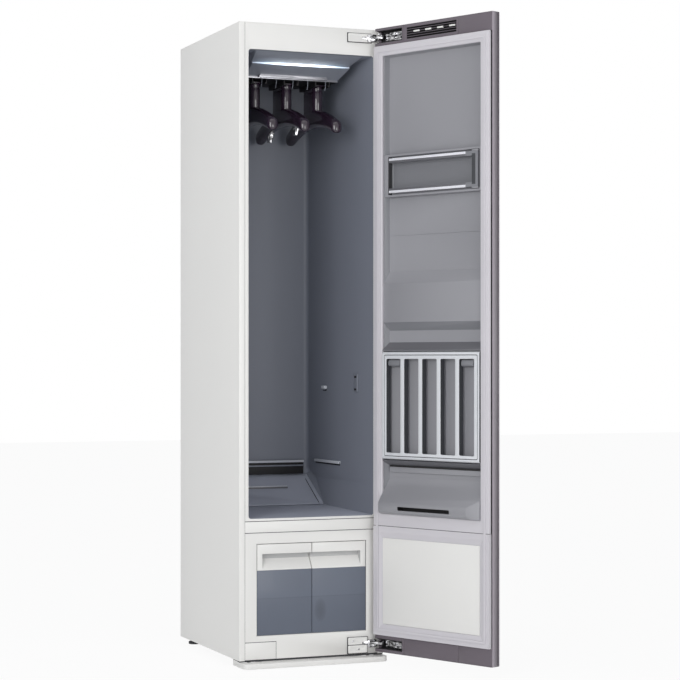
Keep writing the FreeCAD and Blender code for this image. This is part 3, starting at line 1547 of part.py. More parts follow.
def compressor():
    """The compressor can on three rubber feet, with the two pipes that run to the heat exchangers."""
    x, y = compressor_x, compressor_y
    foot_top = chassis_top + s.grommet_height
    can = rod("z", (x, y, foot_top), s.compressor_radius, s.compressor_height)
    dome = doc.addObject("Part::Cone", "Dome")
    bind(dome, "Radius1", s.compressor_radius)
    bind(dome, "Radius2", s.compressor_radius * s.dome_share)
    bind(dome, "Height", s.grommet_height)
    place(dome, (x, y, foot_top + s.compressor_height))
    parts = [can, dome]
    spread = s.compressor_radius - s.grommet_radius * 1.5
    for turn in (90, 210, 330):
        spot = (x + spread * math.cos(math.radians(turn)), y + spread * math.sin(math.radians(turn)))
        rise = s.grommet_height + s.grommet_sunk
        parts.append(rod("z", (*spot, chassis_top), s.grommet_radius, rise))
    can_top = foot_top + s.compressor_height
    delivery = can_top + s.grommet_height + s.pipe_rise
    parts += pipe(x, exchanger_middle(1), can_top, delivery)
    return_x = x - s.compressor_radius * s.return_share
    parts += pipe(return_x, exchanger_middle(0), can_top, delivery + s.pipe_step)
    keep("compressor", joined(*parts))


def pipe(x, end_y, low, high):
    """A pipe that rises from the can, runs forward and then to the left, into a heat exchanger."""
    r = s.pipe_radius
    start_y = compressor_y
    right_end = exchanger_left + s.exchanger_width
    knees = [ball((x, y, high), s.elbow_radius) for y in (start_y, end_y)]
    rise = rod("z", (x, start_y, low), r, high - low)
    forward = rod("y", (x, end_y, high), r, start_y - end_y)
    across = rod("x", (right_end, end_y, high), r, x - right_end)
    return [rise, forward, across, *knees]


def ball(centre, radius):
    thing = doc.addObject("Part::Sphere", "Ball")
    bind(thing, "Radius", radius)
    return place(thing, centre)


fan_near = back - s.fan_back - s.motor_length - s.fan_depth
exchanger_left = s.exchanger_side - half_width
exchanger_start = bay_back + s.exchanger_room
exchanger_depth = (fan_near - exchanger_start - s.exchanger_gap * 2) / 2


def exchanger_front(number):
    return exchanger_start + (exchanger_depth + s.exchanger_gap) * number


def exchanger_middle(number):
    return exchanger_front(number) + exchanger_depth / 2


def exchanger(name, number):
    """A finned heat exchanger block that stands on the chassis."""
    left, right = exchanger_left, exchanger_left + s.exchanger_width
    near = exchanger_front(number)
    far = near + exchanger_depth
    top = chassis_top + s.exchanger_height
    body = Piece(name).pad("z", chassis_top, top, rectangle((left, near), (right, far)))
    pitch = s.exchanger_width / (s.fin_count + 1)
    grooves = []
    for i in range(int(s.fin_count.value)):
        start = left + pitch * (i + 1) - s.fin_groove / 2
        grooves.append(rectangle((start, near), (start + s.fin_groove, far - s.fin_groove * 3)))
    margin = s.fin_groove * 4
    body.cut("z", chassis_top + margin, top, *grooves)
    return body.body


def heat_exchangers():
    keep("heat_exchangers", group(exchanger("evaporator_block", 0), exchanger("condenser_block", 1)))


fan_x = s.fan_side - half_width
fan_level = chassis_top + s.fan_z


def circulation_fan():
    """Housing, wheel and motor of the fan that drives air through the heat exchangers."""
    x, z = fan_x, fan_level
    r = s.fan_radius
    drum = rod("y", (x, fan_near, z), r, s.fan_depth)
    foot_half = r * s.fan_foot_share
    foot = block((x - foot_half, fan_near, chassis_top), (x + foot_half, fan_near + s.fan_depth, z))
    wall = s.duct_wall * 2
    room = rod("y", (x, fan_near + wall, z), r - wall, s.fan_depth - wall * 2)
    mouth = rod("y", (x, fan_near - wall, z), r * s.fan_mouth_share, wall * 3)
    shaft_hole = rod("y", (x, fan_near, z), s.shaft_radius + s.running_gap, s.fan_depth)
    keep("fan_housing", without(joined(drum, foot), room, mouth, shaft_hole))
    near = fan_near + wall * 1.5
    length = s.fan_depth - wall * 3
    keep("fan_wheel", wheel("y", (x, near, z), s.fan_wheel_radius, length, s.motor_length / 2))


def wheel(axis, start, radius, length, shaft_reach):
    """A drum wheel with a back disc and a shaft that reaches into the motor."""
    drum = rod(axis, start, radius, length)
    disc = length * s.wheel_disc_share
    room = rod(axis, start, radius * s.wheel_room_share, length - disc)
    shaft_start = list(start)
    shaft_start["xyz".index(axis)] += length - disc
    shaft = rod(axis, shaft_start, s.shaft_radius, disc + shaft_reach)
    return joined(without(drum, room), shaft)


blower_floor = cavity_top + s.tub_wall + s.layer_gap


def fan_motors():
    """The motors of the two fans, each bored for its shaft."""
    hole_radius = s.shaft_radius + s.running_gap
    base_near = fan_near + s.fan_depth
    base = rod("y", (fan_x, base_near, fan_level), s.motor_radius, s.motor_length)
    base_hole = rod("y", (fan_x, base_near, fan_level), hole_radius, s.motor_length * s.bore_share)
    top_low = blower_floor + s.blower_height
    top_length = s.motor_length * s.top_motor_share
    top = rod("z", (0, s.blower_y, top_low), s.motor_radius, top_length)
    top_hole = rod("z", (0, s.blower_y, top_low), hole_radius, top_length * s.bore_share)
    keep("fan_motors", group(without(base, base_hole), without(top, top_hole)))


def top_blower():
    """The blower over the cavity that feeds air to the hangers."""
    r, y = s.blower_radius, s.blower_y
    wall = s.duct_wall * 1.5
    drum = rod("z", (0, y, blower_floor), r, s.blower_height)
    half, end = r * s.outlet_half_share, y - r * s.outlet_reach_share
    top = blower_floor + s.blower_height
    outlet = block((-half, end, blower_floor), (half, y, top))
    room = rod("z", (0, y, blower_floor + wall), r - wall, s.blower_height - wall * 2)
    mouth = block((wall - half, end, blower_floor + wall), (half - wall, y, top - wall))
    hole = rod("z", (0, y, blower_floor), s.shaft_radius + s.running_gap, s.blower_height)
    keep("top_blower_housing", without(joined(drum, outlet), room, mouth, hole))
    low = blower_floor + wall * 1.5
    length = s.blower_height - wall * 3
    shaft_reach = wall * 1.5 + s.motor_length / 3
    keep("top_blower_wheel", wheel("z", (0, y, low), s.blower_wheel_radius, length, shaft_reach))


def steam_generator():
    """The heated steam vessel on the back panel, over and behind the compressor, with its outlet stub."""
    far = back - s.sheet_thickness - s.layer_gap
    low = (half_width - s.boiler_side - s.boiler_length, far - s.boiler_depth, chassis_top + s.boiler_rise)
    size = (s.boiler_length, s.boiler_depth, s.boiler_height)
    high = [start + length for start, length in zip(low, size)]
    middle = [start + length / 2 for start, length in zip(low, size)]
    stub = rod("z", middle, s.grommet_radius, s.boiler_height)
    keep("steam_generator", joined(block(low, high), stub))


def pumps():
    """The feed pump and the drain pump, on the chassis behind the tank bay."""
    pair = []
    left, level = -s.pump_start, chassis_top + s.pump_radius
    half = s.pump_radius * s.pump_foot_share
    first = bay_back + s.pump_room + s.pump_radius
    for number in (0, 1):
        y = first + (s.pump_radius * 2 + s.pump_gap) * number
        body = rod("x", (left, y, level), s.pump_radius, s.pump_length)
        foot = block((left, y - half, chassis_top), (left + s.pump_length, y + half, level))
        pair.append(joined(body, foot))
    keep("pumps", group(*pair))


def rear_air_duct():
    """The duct behind the cavity that takes the air from the return grille up to the top, in flat panels."""
    half = return_half + s.duct_margin
    near, far = tub_back + s.layer_gap, back - s.sheet_thickness - s.layer_gap
    low, high = s.return_bottom - s.return_height, s.cabinet_height - s.duct_head
    inlet_low, inlet_high = s.return_bottom, s.return_bottom + s.return_height
    w = s.duct_wall
    panels = [
        block((-half, far - w, low), (half, far, high)),
        block((-half, near + w, low), (w - half, far - w, high)),
        block((half - w, near + w, low), (half, far - w, high)),
        block((w - half, near + w, low), (half - w, far - w, low + w)),
        block((-half, near, low), (half, near + w, inlet_low)),
        block((-half, near, inlet_high), (half, near + w, high)),
        block((-half, near, inlet_low), (-return_half, near + w, inlet_high)),
        block((return_half, near, inlet_low), (half, near + w, inlet_high)),
    ]
    keep("rear_air_duct", group(*panels))


def control_board():
    """The circuit board on its pillars, in the space over the cavity."""
    x_low = s.blower_radius + s.motor_radius - s.motor_radius / 2
    near = front + s.module_bar
    board_bottom = blower_floor + s.grommet_height
    low = (-(x_low + s.board_depth), near, board_bottom)
    high = (-x_low, near + s.board_length, board_bottom + s.duct_wall)
    parts = [block(low, high)]
    inset = s.grommet_radius
    for x in (low[0] + inset, high[0] - inset):
        for y in (near + inset, near + s.board_length - inset):
            foot = (x, y, blower_floor - s.layer_gap / 2)
            parts.append(rod("z", foot, inset / 3, s.grommet_height + s.layer_gap))
    keep("control_board", joined(*parts))


def power_inlet():
    """The recessed mains inlet in the back panel. It has no cord."""
    gap = s.layer_gap
    far = back
    near = back - s.inlet_height / 2
    socket = Piece("power_inlet").pad("y", near, far, inlet_outline(gap))
    w = s.duct_wall
    socket.cut("y", near + w, far, inlet_outline(gap + w))
    keep("power_inlet", socket)


# ---------------------------------------------------------------- build


def build():
    side_panel("left_side_panel", -1)
    side_panel("right_side_panel", 1)
    top_panel()
    back_panel()
    chassis()
    levelling_feet()
    foot_plate()
    front_frame()
    sill_strip()
    lower_fascia()
    service_cover()
    cavity_tub()
    rear_ramp()
    lint_filter()
    air_return_grille()
    ceiling_module()
    light_lens()
    hanger_bar()
    hanger("hanger_left", -1, False)
    hanger("hanger_middle", 0, True)
    hanger("hanger_right", 1, False)
    near_clip, far_clip = clip_centres()
    clip_jaw("clip_jaw_front", near_clip)
    clip_jaw("clip_jaw_rear", far_clip)
    wall_fittings()
    tank_bay()
    tank_shell("fill_tank_shell", -1)
    tank_cap("fill_tank_cap", -1)
    tank_lid("fill_tank_lid", -1)
    tank_shell("drain_tank_shell", 1)
    tank_cap("drain_tank_cap", 1)
    tank_lid("drain_tank_lid", 1)
    tank_float()
    door_face()
    door_shell()
    door_rails()
    upper_liner_frame()
    lower_liner_frame()
    lower_insert()
    upper_liner()
    door_scoop()
    door_gasket()
    door_shelf()
    rail_arm()
    rail_bracket()
    hinge_plates()
    hinge_cups()
    hinge_links()
    compressor()
    heat_exchangers()
    circulation_fan()
    fan_motors()
    top_blower()
    steam_generator()
    pumps()
    rear_air_duct()
    control_board()
    power_inlet()


def check():
    """Stops if any object failed to compute or any sub-part has no sound shape."""
    for thing in doc.Objects:
        if "Invalid" in thing.State or "Error" in thing.State:
            raise SystemExit(f"{thing.Name} ({thing.Label}) did not compute: {thing.State}")
    for name, thing in nodes.items():
        if thing.Shape.isNull() or not thing.Shape.isValid() or not thing.Shape.Solids:
            raise SystemExit(f"{name} has no sound solid")


def write():
    os.makedirs("parts", exist_ok=True)
    for name, thing in nodes.items():
        thing.Shape.exportStep(f"parts/{name}.step")
        print(f"{name}: {len(thing.Shape.Solids)} solid(s), {thing.Shape.Volume / 1000:.1f} cm3")
    print(len(nodes), "nodes")


build()
doc.recompute()
check()
write()
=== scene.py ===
"""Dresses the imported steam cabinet: one operator for each piece or group of pieces, run in order by main().

Everything is in metres. X is to the right, Y from the front to the back, Z up, and the origin lies on the
floor. Lengths that are written out are in millimetres, and mm(), across(), proud() and the functions built
on them make them metres. Pieces of the door are modelled on the shut door, and hung() turns them open.
"""

import json
import math
from contextlib import contextmanager

import bmesh
import bpy
from bpy.props import FloatProperty, FloatVectorProperty, PointerProperty
from mathutils import Matrix, Vector

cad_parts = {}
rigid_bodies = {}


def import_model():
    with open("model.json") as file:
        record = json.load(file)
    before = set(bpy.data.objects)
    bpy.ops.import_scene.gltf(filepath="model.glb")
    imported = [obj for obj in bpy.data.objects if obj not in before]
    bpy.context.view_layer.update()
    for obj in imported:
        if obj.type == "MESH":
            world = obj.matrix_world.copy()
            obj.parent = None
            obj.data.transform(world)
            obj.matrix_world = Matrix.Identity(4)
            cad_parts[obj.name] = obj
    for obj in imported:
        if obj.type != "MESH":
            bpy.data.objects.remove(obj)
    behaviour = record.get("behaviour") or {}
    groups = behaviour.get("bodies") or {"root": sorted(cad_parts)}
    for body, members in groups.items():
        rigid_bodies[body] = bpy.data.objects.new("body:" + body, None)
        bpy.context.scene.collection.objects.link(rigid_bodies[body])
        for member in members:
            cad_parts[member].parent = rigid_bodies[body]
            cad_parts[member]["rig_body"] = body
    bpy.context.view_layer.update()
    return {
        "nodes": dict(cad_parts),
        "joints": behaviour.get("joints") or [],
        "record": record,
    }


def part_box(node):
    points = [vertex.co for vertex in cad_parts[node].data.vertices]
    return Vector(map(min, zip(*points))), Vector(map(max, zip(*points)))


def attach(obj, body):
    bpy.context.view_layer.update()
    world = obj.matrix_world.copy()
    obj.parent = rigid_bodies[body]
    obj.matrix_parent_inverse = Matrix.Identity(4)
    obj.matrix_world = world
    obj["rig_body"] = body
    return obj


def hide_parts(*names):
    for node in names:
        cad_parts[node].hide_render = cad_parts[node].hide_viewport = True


bl_info = {
    "name": "Steam cabinet",
    "version": (1, 0, 0),
    "blender": (4, 5, 0),
    "location": "View3D > Sidebar > Steam cabinet",
    "description": "Models the finished surfaces of a clothes care steam cabinet",
    "category": "Object",
}

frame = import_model()

# ---------------------------------------------------------------- sizes and colours


def tint(label, red, green, blue):
    """A colour that a user can change. It is given as it looks, from 0 to 255, and kept as light."""
    values = [((v / 255 + 0.055) / 1.055) ** 2.4 if v > 10 else v / 255 / 12.92 for v in (red, green, blue)]
    return FloatVectorProperty(
        name=label, description=f"Colour: {label.lower()}", default=values, subtype="COLOR", size=3, min=0, max=1
    )


def length(label, description, millimetres):
    return FloatProperty(
        name=label, description=description, default=millimetres / 1000, subtype="DISTANCE", unit="LENGTH", min=0
    )


class CabinetColours(bpy.types.PropertyGroup):
    """The colours of the cabinet's finishes."""

    paint: tint("Casing paint", 236, 235, 232)
    moulding: tint("Front mouldings", 231, 230, 227)
    bare: tint("Bare sheet", 176, 178, 180)
    tub: tint("Cavity lining", 126, 130, 141)
    # Painted light: a lighter copy of the cavity lining for the floor's upward faces and the ramp.
    pan: tint("Cavity floor pan", 168, 172, 185)
    # Painted highlights: a bright colour for the lit faces of the cavity's ledges, tabs, lip, ridge and filter bar.
    fittings: tint("Cavity fittings", 200, 203, 210)
    module: tint("Ceiling housing", 150, 154, 164)
    bar: tint("Satin bars", 190, 190, 195)
    hanger: tint("Hangers", 44, 32, 46)
    chrome: tint("Chrome", 225, 225, 228)
    tank: tint("Tank shells", 90, 97, 111)
    tank_cap: tint("Tank caps", 231, 230, 227)
    door: tint("Door body", 102, 94, 102)
    # Painted light: a lighter copy of the door colour for the lit free edge.
    door_edge: tint("Door edge strip", 162, 153, 162)
    liner: tint("Door liner", 148, 148, 153)
    liner_frame: tint("Liner frame", 206, 203, 208)
    insert: tint("Liner insert", 232, 231, 228)
    # A dark grey for the lint filter and the air return grille, and painted shade on the liner's slopes, the arm's
    # edges and under the ramp's ridge.
    cove: tint("Liner coves", 104, 104, 109)
    shelf: tint("Stored shelf", 216, 218, 222)
    # Painted shade: a very dark grey for the sides of the shelf's slots and the yoke's end.
    shelf_core: tint("Sides of the shelf's slots", 58, 60, 64)
    # A darker liner grey for the arm's yoke, and painted shade on the recess's walls, the pocket's back, the
    # relief's underside and the shelf's tabs.
    pocket: tint("Liner pockets", 126, 127, 132)
    # Painted shade at the back of the tank caps' hand recesses.
    grip: tint("Tank grips", 184, 184, 184)
    # Rubber for the levelling feet, and painted shade in the front's seams, the liner frames' seam, the pocket
    # surround's side and round the hinge covers.
    rubber: tint("Rubber", 52, 52, 55)
    # Black for the power inlet, the float, the hanger rails and the hinge pockets, and painted shade in gaps,
    # slots, grooves and holes.
    black: tint("Black parts", 16, 15, 18)
    fins: tint("Aluminium fins", 200, 202, 206)
    duct: tint("Duct plastic", 214, 214, 212)
    board: tint("Circuit board", 44, 92, 62)


class CabinetSizes(bpy.types.PropertyGroup):
    """The small sizes that the solids don't give."""

    sheet_edge: length("Sheet edge", "Rounding of painted sheet edges", 0.5)
    moulded_edge: length("Moulded edge", "Rounding of moulded edges", 0.9)
    liner_edge: length("Liner edge", "Rounding of the door liner's edges", 2.5)
    tub_corner: length("Cavity corner", "Rounding of the cavity's inner corners", 14)
    screw_head: length("Screw head", "Radius of the visible screw heads", 3.2)


# ---------------------------------------------------------------- the frame's measures

DOOR_JOINT = next(j for j in frame["joints"] if j["name"] == "door_swing")
DOOR_OPEN = -math.radians(DOOR_JOINT["range_deg"][0])
HINGE_LINE = Vector((DOOR_JOINT["pos_m"][0], DOOR_JOINT["pos_m"][1], 0))
OPEN_TURN = (
    Matrix.Translation(HINGE_LINE) @ Matrix.Rotation(DOOR_OPEN, 4, "Z") @ Matrix.Translation(-HINGE_LINE)
)
SHUT_TURN = OPEN_TURN.inverted()


def mm(*values):
    """A length or a place, from millimetres."""
    made = [v / 1000 for v in values]
    return made[0] if len(made) == 1 else Vector(made)


def shut_box(node):
    """The lowest and highest corner of a door node, measured with the door shut."""
    points = [SHUT_TURN @ v.co for v in frame["nodes"][node].data.vertices]
    return [Vector([end(p[i] for p in points) for i in range(3)]) for end in (min, max)]


CASING_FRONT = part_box("front_frame")[0][1]
COVER_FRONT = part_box("service_cover")[0][1]
HINGE_EDGE = shut_box("door_front_panel")[1].x
DOOR_INNER = shut_box("door_shell")[1].y


def across(u):
    """X of a point that lies u millimetres from the shut door's hinge edge."""
    return HINGE_EDGE - u / 1000


def proud(off):
    """Y of a point that lies off millimetres in front of the shut door's inner face."""
    return DOOR_INNER + off / 1000


def in_patch(place, us, heights, below):
    """True for a place on the shut door between two u and two heights, and deeper in the door than an off."""
    beside = across(us[1]) < place.x < across(us[0])
    return beside and mm(heights[0]) < place.z < mm(heights[1]) and place.y < proud(below)


def body_of(node):
    return frame["nodes"][node]["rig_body"]


def slot_of(node):
    return next(s["material_slot"] for s in frame["record"]["subparts"] if s["node"] == node)


# ---------------------------------------------------------------- shader maths


class Wire:
    """A shader socket that works in Python sums, so that shader maths reads as maths."""

    def __init__(self, tree, socket):
        self.tree = tree
        self.socket = socket

    def sum(self, operation, *values):
        node = self.tree.nodes.new("ShaderNodeMath")
        node.operation = operation
        for slot, value in zip(node.inputs, values):
            plug(self.tree, slot, value)
        return Wire(self.tree, node.outputs[0])

    def __add__(self, other):
        return self.sum("ADD", self, other)

    def __sub__(self, other):
        return self.sum("SUBTRACT", self, other)

    def __rsub__(self, other):
        return self.sum("SUBTRACT", other, self)

    def __mul__(self, other):
        return self.sum("MULTIPLY", self, other)

    def __truediv__(self, other):
        return self.sum("DIVIDE", self, other)

    def __pow__(self, other):
        return self.sum("POWER", self, other)

    __radd__ = __add__
    __rmul__ = __mul__


def plug(tree, slot, value):
    """Links a wire to a socket, or sets the socket to a value."""
    if isinstance(value, Wire):
        tree.links.new(value.socket, slot)
    elif hasattr(value, "__len__") and len(value) == 3 and slot.type == "RGBA":
        slot.default_value = (*value, 1)
    else:
        slot.default_value = value


def set_stops(ramp, stops):
    """Stops of a ramp, each as (place, grey or colour)."""
    while len(ramp.elements) < len(stops):
        ramp.elements.new(0.5)
    for element, (place, value) in zip(ramp.elements, stops):
        element.position = place
        element.color = (value, value, value, 1) if isinstance(value, (int, float)) else (*value, 1)


def shade(colour, share):
    return tuple(min(1.0, c * share) for c in colour)


class Finish:
    """A material that is put together node by node."""

    def __init__(self, name):
        self.material = bpy.data.materials.new(name)
        self.material.use_nodes = True
        self.tree = self.material.node_tree
        self.shader = next(n for n in self.tree.nodes if n.type == "BSDF_PRINCIPLED")

    def node(self, kind, settings=None, output=0, **values):
        """Adds a node: its settings first, then the values or links of its sockets."""
        made = self.tree.nodes.new("ShaderNode" + kind)
        for setting, value in (settings or {}).items():
            if setting == "stops":
                set_stops(made.color_ramp, value)
            else:
                setattr(made, setting, value)
        for name, value in values.items():
            plug(self.tree, made.inputs[name.replace("_", " ")], value)
        return Wire(self.tree, made.outputs[output])

    def place(self, scale=None):
        """Object coordinates, stretched by a scale."""
        at = self.node("TexCoord", output=3)
        return self.node("Mapping", Vector=at, Scale=scale) if scale else at

    def along(self, number):
        """One of the object coordinates."""
        return self.node("SeparateXYZ", output=number, Vector=self.place())

    def noise(self, at, scale, detail=2.0):
        return self.node("TexNoise", Vector=at, Scale=scale, Detail=detail)

    def ramp(self, factor, *stops):
        return self.node("ValToRGB", {"stops": stops}, Fac=factor)

    def blend(self, factor, first, second, how="MIX"):
        made = self.tree.nodes.new("ShaderNodeMix")
        made.data_type = "RGBA"
        made.blend_type = how
        for slot, value in zip((0, 6, 7), (factor, first, second)):
            plug(self.tree, made.inputs[slot], value)
        return Wire(self.tree, made.outputs[2])

    def surface(self, **values):
        for name, value in values.items():
            plug(self.tree, self.shader.inputs[name.replace("_", " ")], value)
        return self.material

    def mottled(self, pattern, colour, dark, light):
        """A colour that wanders between two shares of itself."""
        return self.blend(pattern, shade(colour, dark), shade(colour, light))

    def grained(self, colour, roughs, relief, **values):
        """A surface: its colour, its roughness as (pattern, end, end), its relief as (pattern, strength, depth)."""
        return self.surface(
            Base_Color=colour,
            Roughness=self.ramp(roughs[0], (0.3, roughs[1]), (0.7, roughs[2])),
            Normal=self.node("Bump", Height=relief[0], Strength=relief[1], Distance=relief[2]),
            **values,
        )


# ---------------------------------------------------------------- finishes


def painted(name, colour, rough=0.4):
    """Baked enamel on sheet steel: nearly even, with a faint orange peel."""
    finish = Finish(name)
    at = finish.place()
    cloud, peel = finish.noise(at, 2.2), finish.noise(at, 900.0, 1.0)
    tones = finish.mottled(cloud, colour, 0.985, 1.01)
    return finish.grained(tones, (cloud, rough - 0.04, rough + 0.04), (peel, 0.05, 0.0002), Coat_Weight=0.15)


def moulded(name, colour, rough=0.42, grain=0.12):
    """Moulded plastic with a fine eroded grain."""
    finish = Finish(name)
    at = finish.place()
    cloud, pits = finish.noise(at, 3.0), finish.noise(at, 1800.0)
    tones = finish.mottled(cloud, colour, 0.97, 1.03)
    return finish.grained(tones, (pits, rough - 0.05, rough + 0.07), (pits, grain, 0.0001))


def brushed(name, colour, along=(1, 60, 60)):
    """Satin metal with fine brushing along one axis."""
    finish = Finish(name)
    lines = finish.noise(finish.place(along), 40.0, 3.0)
    tones = finish.mottled(lines, colour, 0.9, 1.05)
    return finish.grained(tones, (lines, 0.24, 0.38), (lines, 0.06, 0.0001), Metallic=0.85)


def polished(name, colour):
    """Plated metal, with the soft waviness of a plated casting, and dark and bright blotches painted into its
    colour as reflections.
    """
    finish = Finish(name)
    at = finish.place()
    waves, painted_reflection = finish.noise(at, 60.0, 1.0), finish.noise(at, 90.0, 1.0)
    tones = finish.ramp(painted_reflection, (0.36, shade(colour, 0.16)), (0.52, shade(colour, 0.6)), (0.64, colour))
    return finish.grained(tones, (waves, 0.07, 0.16), (waves, 0.08, 0.0004), Metallic=1.0)


def rubbery(name, colour):
    finish = Finish(name)
    dust = finish.noise(finish.place(), 220.0, 3.0)
    tones = finish.mottled(dust, colour, 0.85, 1.15)
    return finish.grained(tones, (dust, 0.62, 0.8), (dust, 0.1, 0.0002))


def glossy(name, colour):
    """Polished dark plastic of the hangers."""
    finish = Finish(name)
    swirl = finish.noise(finish.place(), 26.0, 3.0)
    tones = finish.mottled(swirl, colour, 0.8, 1.25)
    return finish.grained(tones, (swirl, 0.09, 0.19), (swirl, 0.04, 0.0004), Coat_Weight=0.4)


def smoked(name, colour):
    """The tinted plastic of the tanks, with the water line and a dark spot where the float stands behind it."""
    finish = Finish(name)
    side, height = finish.along(0), finish.along(2)
    haze = finish.noise(finish.place(), 9.0)
    # The stops of the water line run over the lowest quarter of a metre.
    water = finish.ramp(height * 4.0, (0.0, 0.98), (0.785, 0.99), (0.79, 0.84), (0.8, 1.06), (1.0, 1.02))
    beside, above = (side - mm(26)) / mm(20), (height - mm(158)) / mm(36)
    spot = finish.ramp(beside**2.0 + above**2.0, (0.0, 0.72), (0.5, 0.84), (1.0, 1.0))
    body = finish.mottled(haze, colour, 0.96, 1.04)
    for layer in (spot, water):
        body = finish.blend(1.0, body, layer, how="MULTIPLY")
    return finish.surface(
        Base_Color=body, Roughness=finish.ramp(haze, (0.3, 0.3), (0.7, 0.36)), Coat_Weight=0.1
    )


def glowing(name, strength):
    """The diffuser of the cavity light, brightest in its middle."""
    finish = Finish(name)
    half_length = mm(153)
    far = finish.node("Math", {"operation": "ABSOLUTE"}, Value=finish.along(0)) / half_length
    light = finish.ramp(
        far, (0.0, (0.93, 0.97, 1.0)), (0.35, (0.8, 0.9, 1.0)), (0.7, (0.3, 0.38, 0.46)), (1.0, (0.05, 0.06, 0.08))
    )
    return finish.surface(
        Base_Color=(0.7, 0.75, 0.8), Roughness=0.3, Emission_Color=light, Emission_Strength=strength
    )


# Each finish by its name: how it is made, the material's name, and its settings. Its colour has the same name.
MIXES = {
    "paint": (painted, "casing_enamel", {}),
    "bare": (painted, "galvanised_sheet", {}),
    "moulding": (moulded, "white_moulding", {"rough": 0.36, "grain": 0.05}),
    "tub": (moulded, "cavity_lining", {"rough": 0.36}),
    "pan": (moulded, "floor_pan", {"rough": 0.4}),
    "fittings": (moulded, "cavity_fittings", {"rough": 0.3, "grain": 0.05}),
    "module": (moulded, "ceiling_housing", {"rough": 0.4}),
    "bar": (brushed, "satin_bar", {}),
    "hanger": (glossy, "hanger_plastic", {}),
    "chrome": (polished, "chrome_plate", {}),
    "tank": (smoked, "smoked_tank", {}),
    "tank_cap": (moulded, "tank_cap_plastic", {"rough": 0.36, "grain": 0.05}),
    "door": (moulded, "door_body", {"rough": 0.36, "grain": 0.06}),
    "door_edge": (painted, "door_edge_strip", {"rough": 0.3}),
    "liner": (moulded, "door_liner", {}),
    "liner_frame": (moulded, "liner_frame_plastic", {}),
    "insert": (moulded, "insert_plastic", {"rough": 0.45}),
    "cove": (moulded, "cove_plastic", {"rough": 0.4}),
    "shelf": (moulded, "shelf_plastic", {"rough": 0.36}),
    "pocket": (moulded, "pocket_plastic", {}),
    "grip": (moulded, "grip_plastic", {}),
    "shelf_core": (moulded, "shelf_slot_sides", {"rough": 0.5}),
    "rubber": (rubbery, "rubber", {}),
    "black": (moulded, "black_plastic", {"rough": 0.6}),
    "fins": (brushed, "finned_aluminium", {"along": (60, 60, 1)}),
    "duct": (moulded, "duct_plastic", {"rough": 0.5}),
    "board": (moulded, "board_laminate", {"rough": 0.3}),
}
finishes = {}


def mix_finishes(colours):
    """Makes every finish once."""
    for name, (made, material, settings) in MIXES.items():
        finishes[name] = made(material, tuple(getattr(colours, name)), **settings)
    finishes["door_bar"] = moulded("bright_door_bar", shade(colours.bar, 1.6), rough=0.3, grain=0.04)
    finishes["door_face"] = painted("door_front", tuple(colours.door), rough=0.3)
    finishes["light"] = glowing("light_diffuser", 2.2)


# ---------------------------------------------------------------- modelling helpers

AXES = {"x": (0, (1, 2)), "y": (1, (0, 2)), "z": (2, (0, 1))}


def only(piece):
    """Makes a piece the one selected and active object."""
    bpy.ops.object.select_all(action="DESELECT")
    piece.select_set(True)
    bpy.context.view_layer.objects.active = piece


def placed(name, data):
    """A new object in the scene."""
    piece = bpy.data.objects.new(name, data)
    bpy.context.scene.collection.objects.link(piece)
    return piece


def settle(piece):
    """Puts a piece's place, turn and size into its mesh."""
    only(piece)
    bpy.ops.object.transform_apply(location=True, rotation=True, scale=True)
    return piece


def finish_with(piece, kind, **settings):
    """Gives a piece a modifier and applies it."""
    only(piece)
    modifier = piece.modifiers.new(kind.title(), kind)
    for name, value in settings.items():
        setattr(modifier, name, value)
    bpy.ops.object.modifier_apply(modifier=modifier.name)
    return piece


@contextmanager
def editing(piece):
    """Edit mode on one piece, with all of it selected to begin with."""
    only(piece)
    bpy.ops.object.mode_set(mode="EDIT")
    bpy.ops.mesh.select_all(action="SELECT")
    try:
        yield
    finally:
        bpy.ops.object.mode_set(mode="OBJECT")


def choose(piece, kind, test):
    """In edit mode: selects the vertices or edges that pass a test, and nothing else."""
    bpy.ops.mesh.select_mode(type=kind)
    bpy.ops.mesh.select_all(action="DESELECT")
    mesh = bmesh.from_edit_mesh(piece.data)
    found = [thing for thing in {"VERT": mesh.verts, "EDGE": mesh.edges}[kind] if test(thing)]
    if not found:
        raise RuntimeError(f"nothing to select on {piece.name}")
    for thing in found:
        thing.select_set(True)
    mesh.select_flush_mode()
    bmesh.update_edit_mesh(piece.data)


def face_outwards():
    """In edit mode: turns every face outwards."""
    bpy.ops.mesh.select_all(action="SELECT")
    bpy.ops.mesh.normals_make_consistent(inside=False)


def started(name, corners, fill):
    """A ring with a number of corners, to be shaped."""
    bpy.ops.object.select_all(action="DESELECT")
    bpy.ops.mesh.primitive_circle_add(vertices=corners, fill_type=fill)
    bpy.context.object.name = name
    return bpy.context.object


def prism(name, outline, axis, start, end):
    """A straight bar: a filled ring with a corner for each point of the outline, extruded along an axis."""
    piece = started(name, len(outline), "NGON")
    along, (first, second) = AXES[axis]
    for vertex, point in zip(piece.data.vertices, outline):
        vertex.co[first], vertex.co[second], vertex.co[along] = point[0], point[1], start
    way = Vector((0, 0, 0))
    way[along] = end - start
    with editing(piece):
        bpy.ops.mesh.extrude_region_move(TRANSFORM_OT_translate={"value": way})
        face_outwards()
    return piece


def block(name, low, high):
    """A box between two corners, to be carved or rounded."""
    outline = [(low[0], low[2]), (high[0], low[2]), (high[0], high[2]), (low[0], high[2])]
    return prism(name, outline, "y", low[1], high[1])


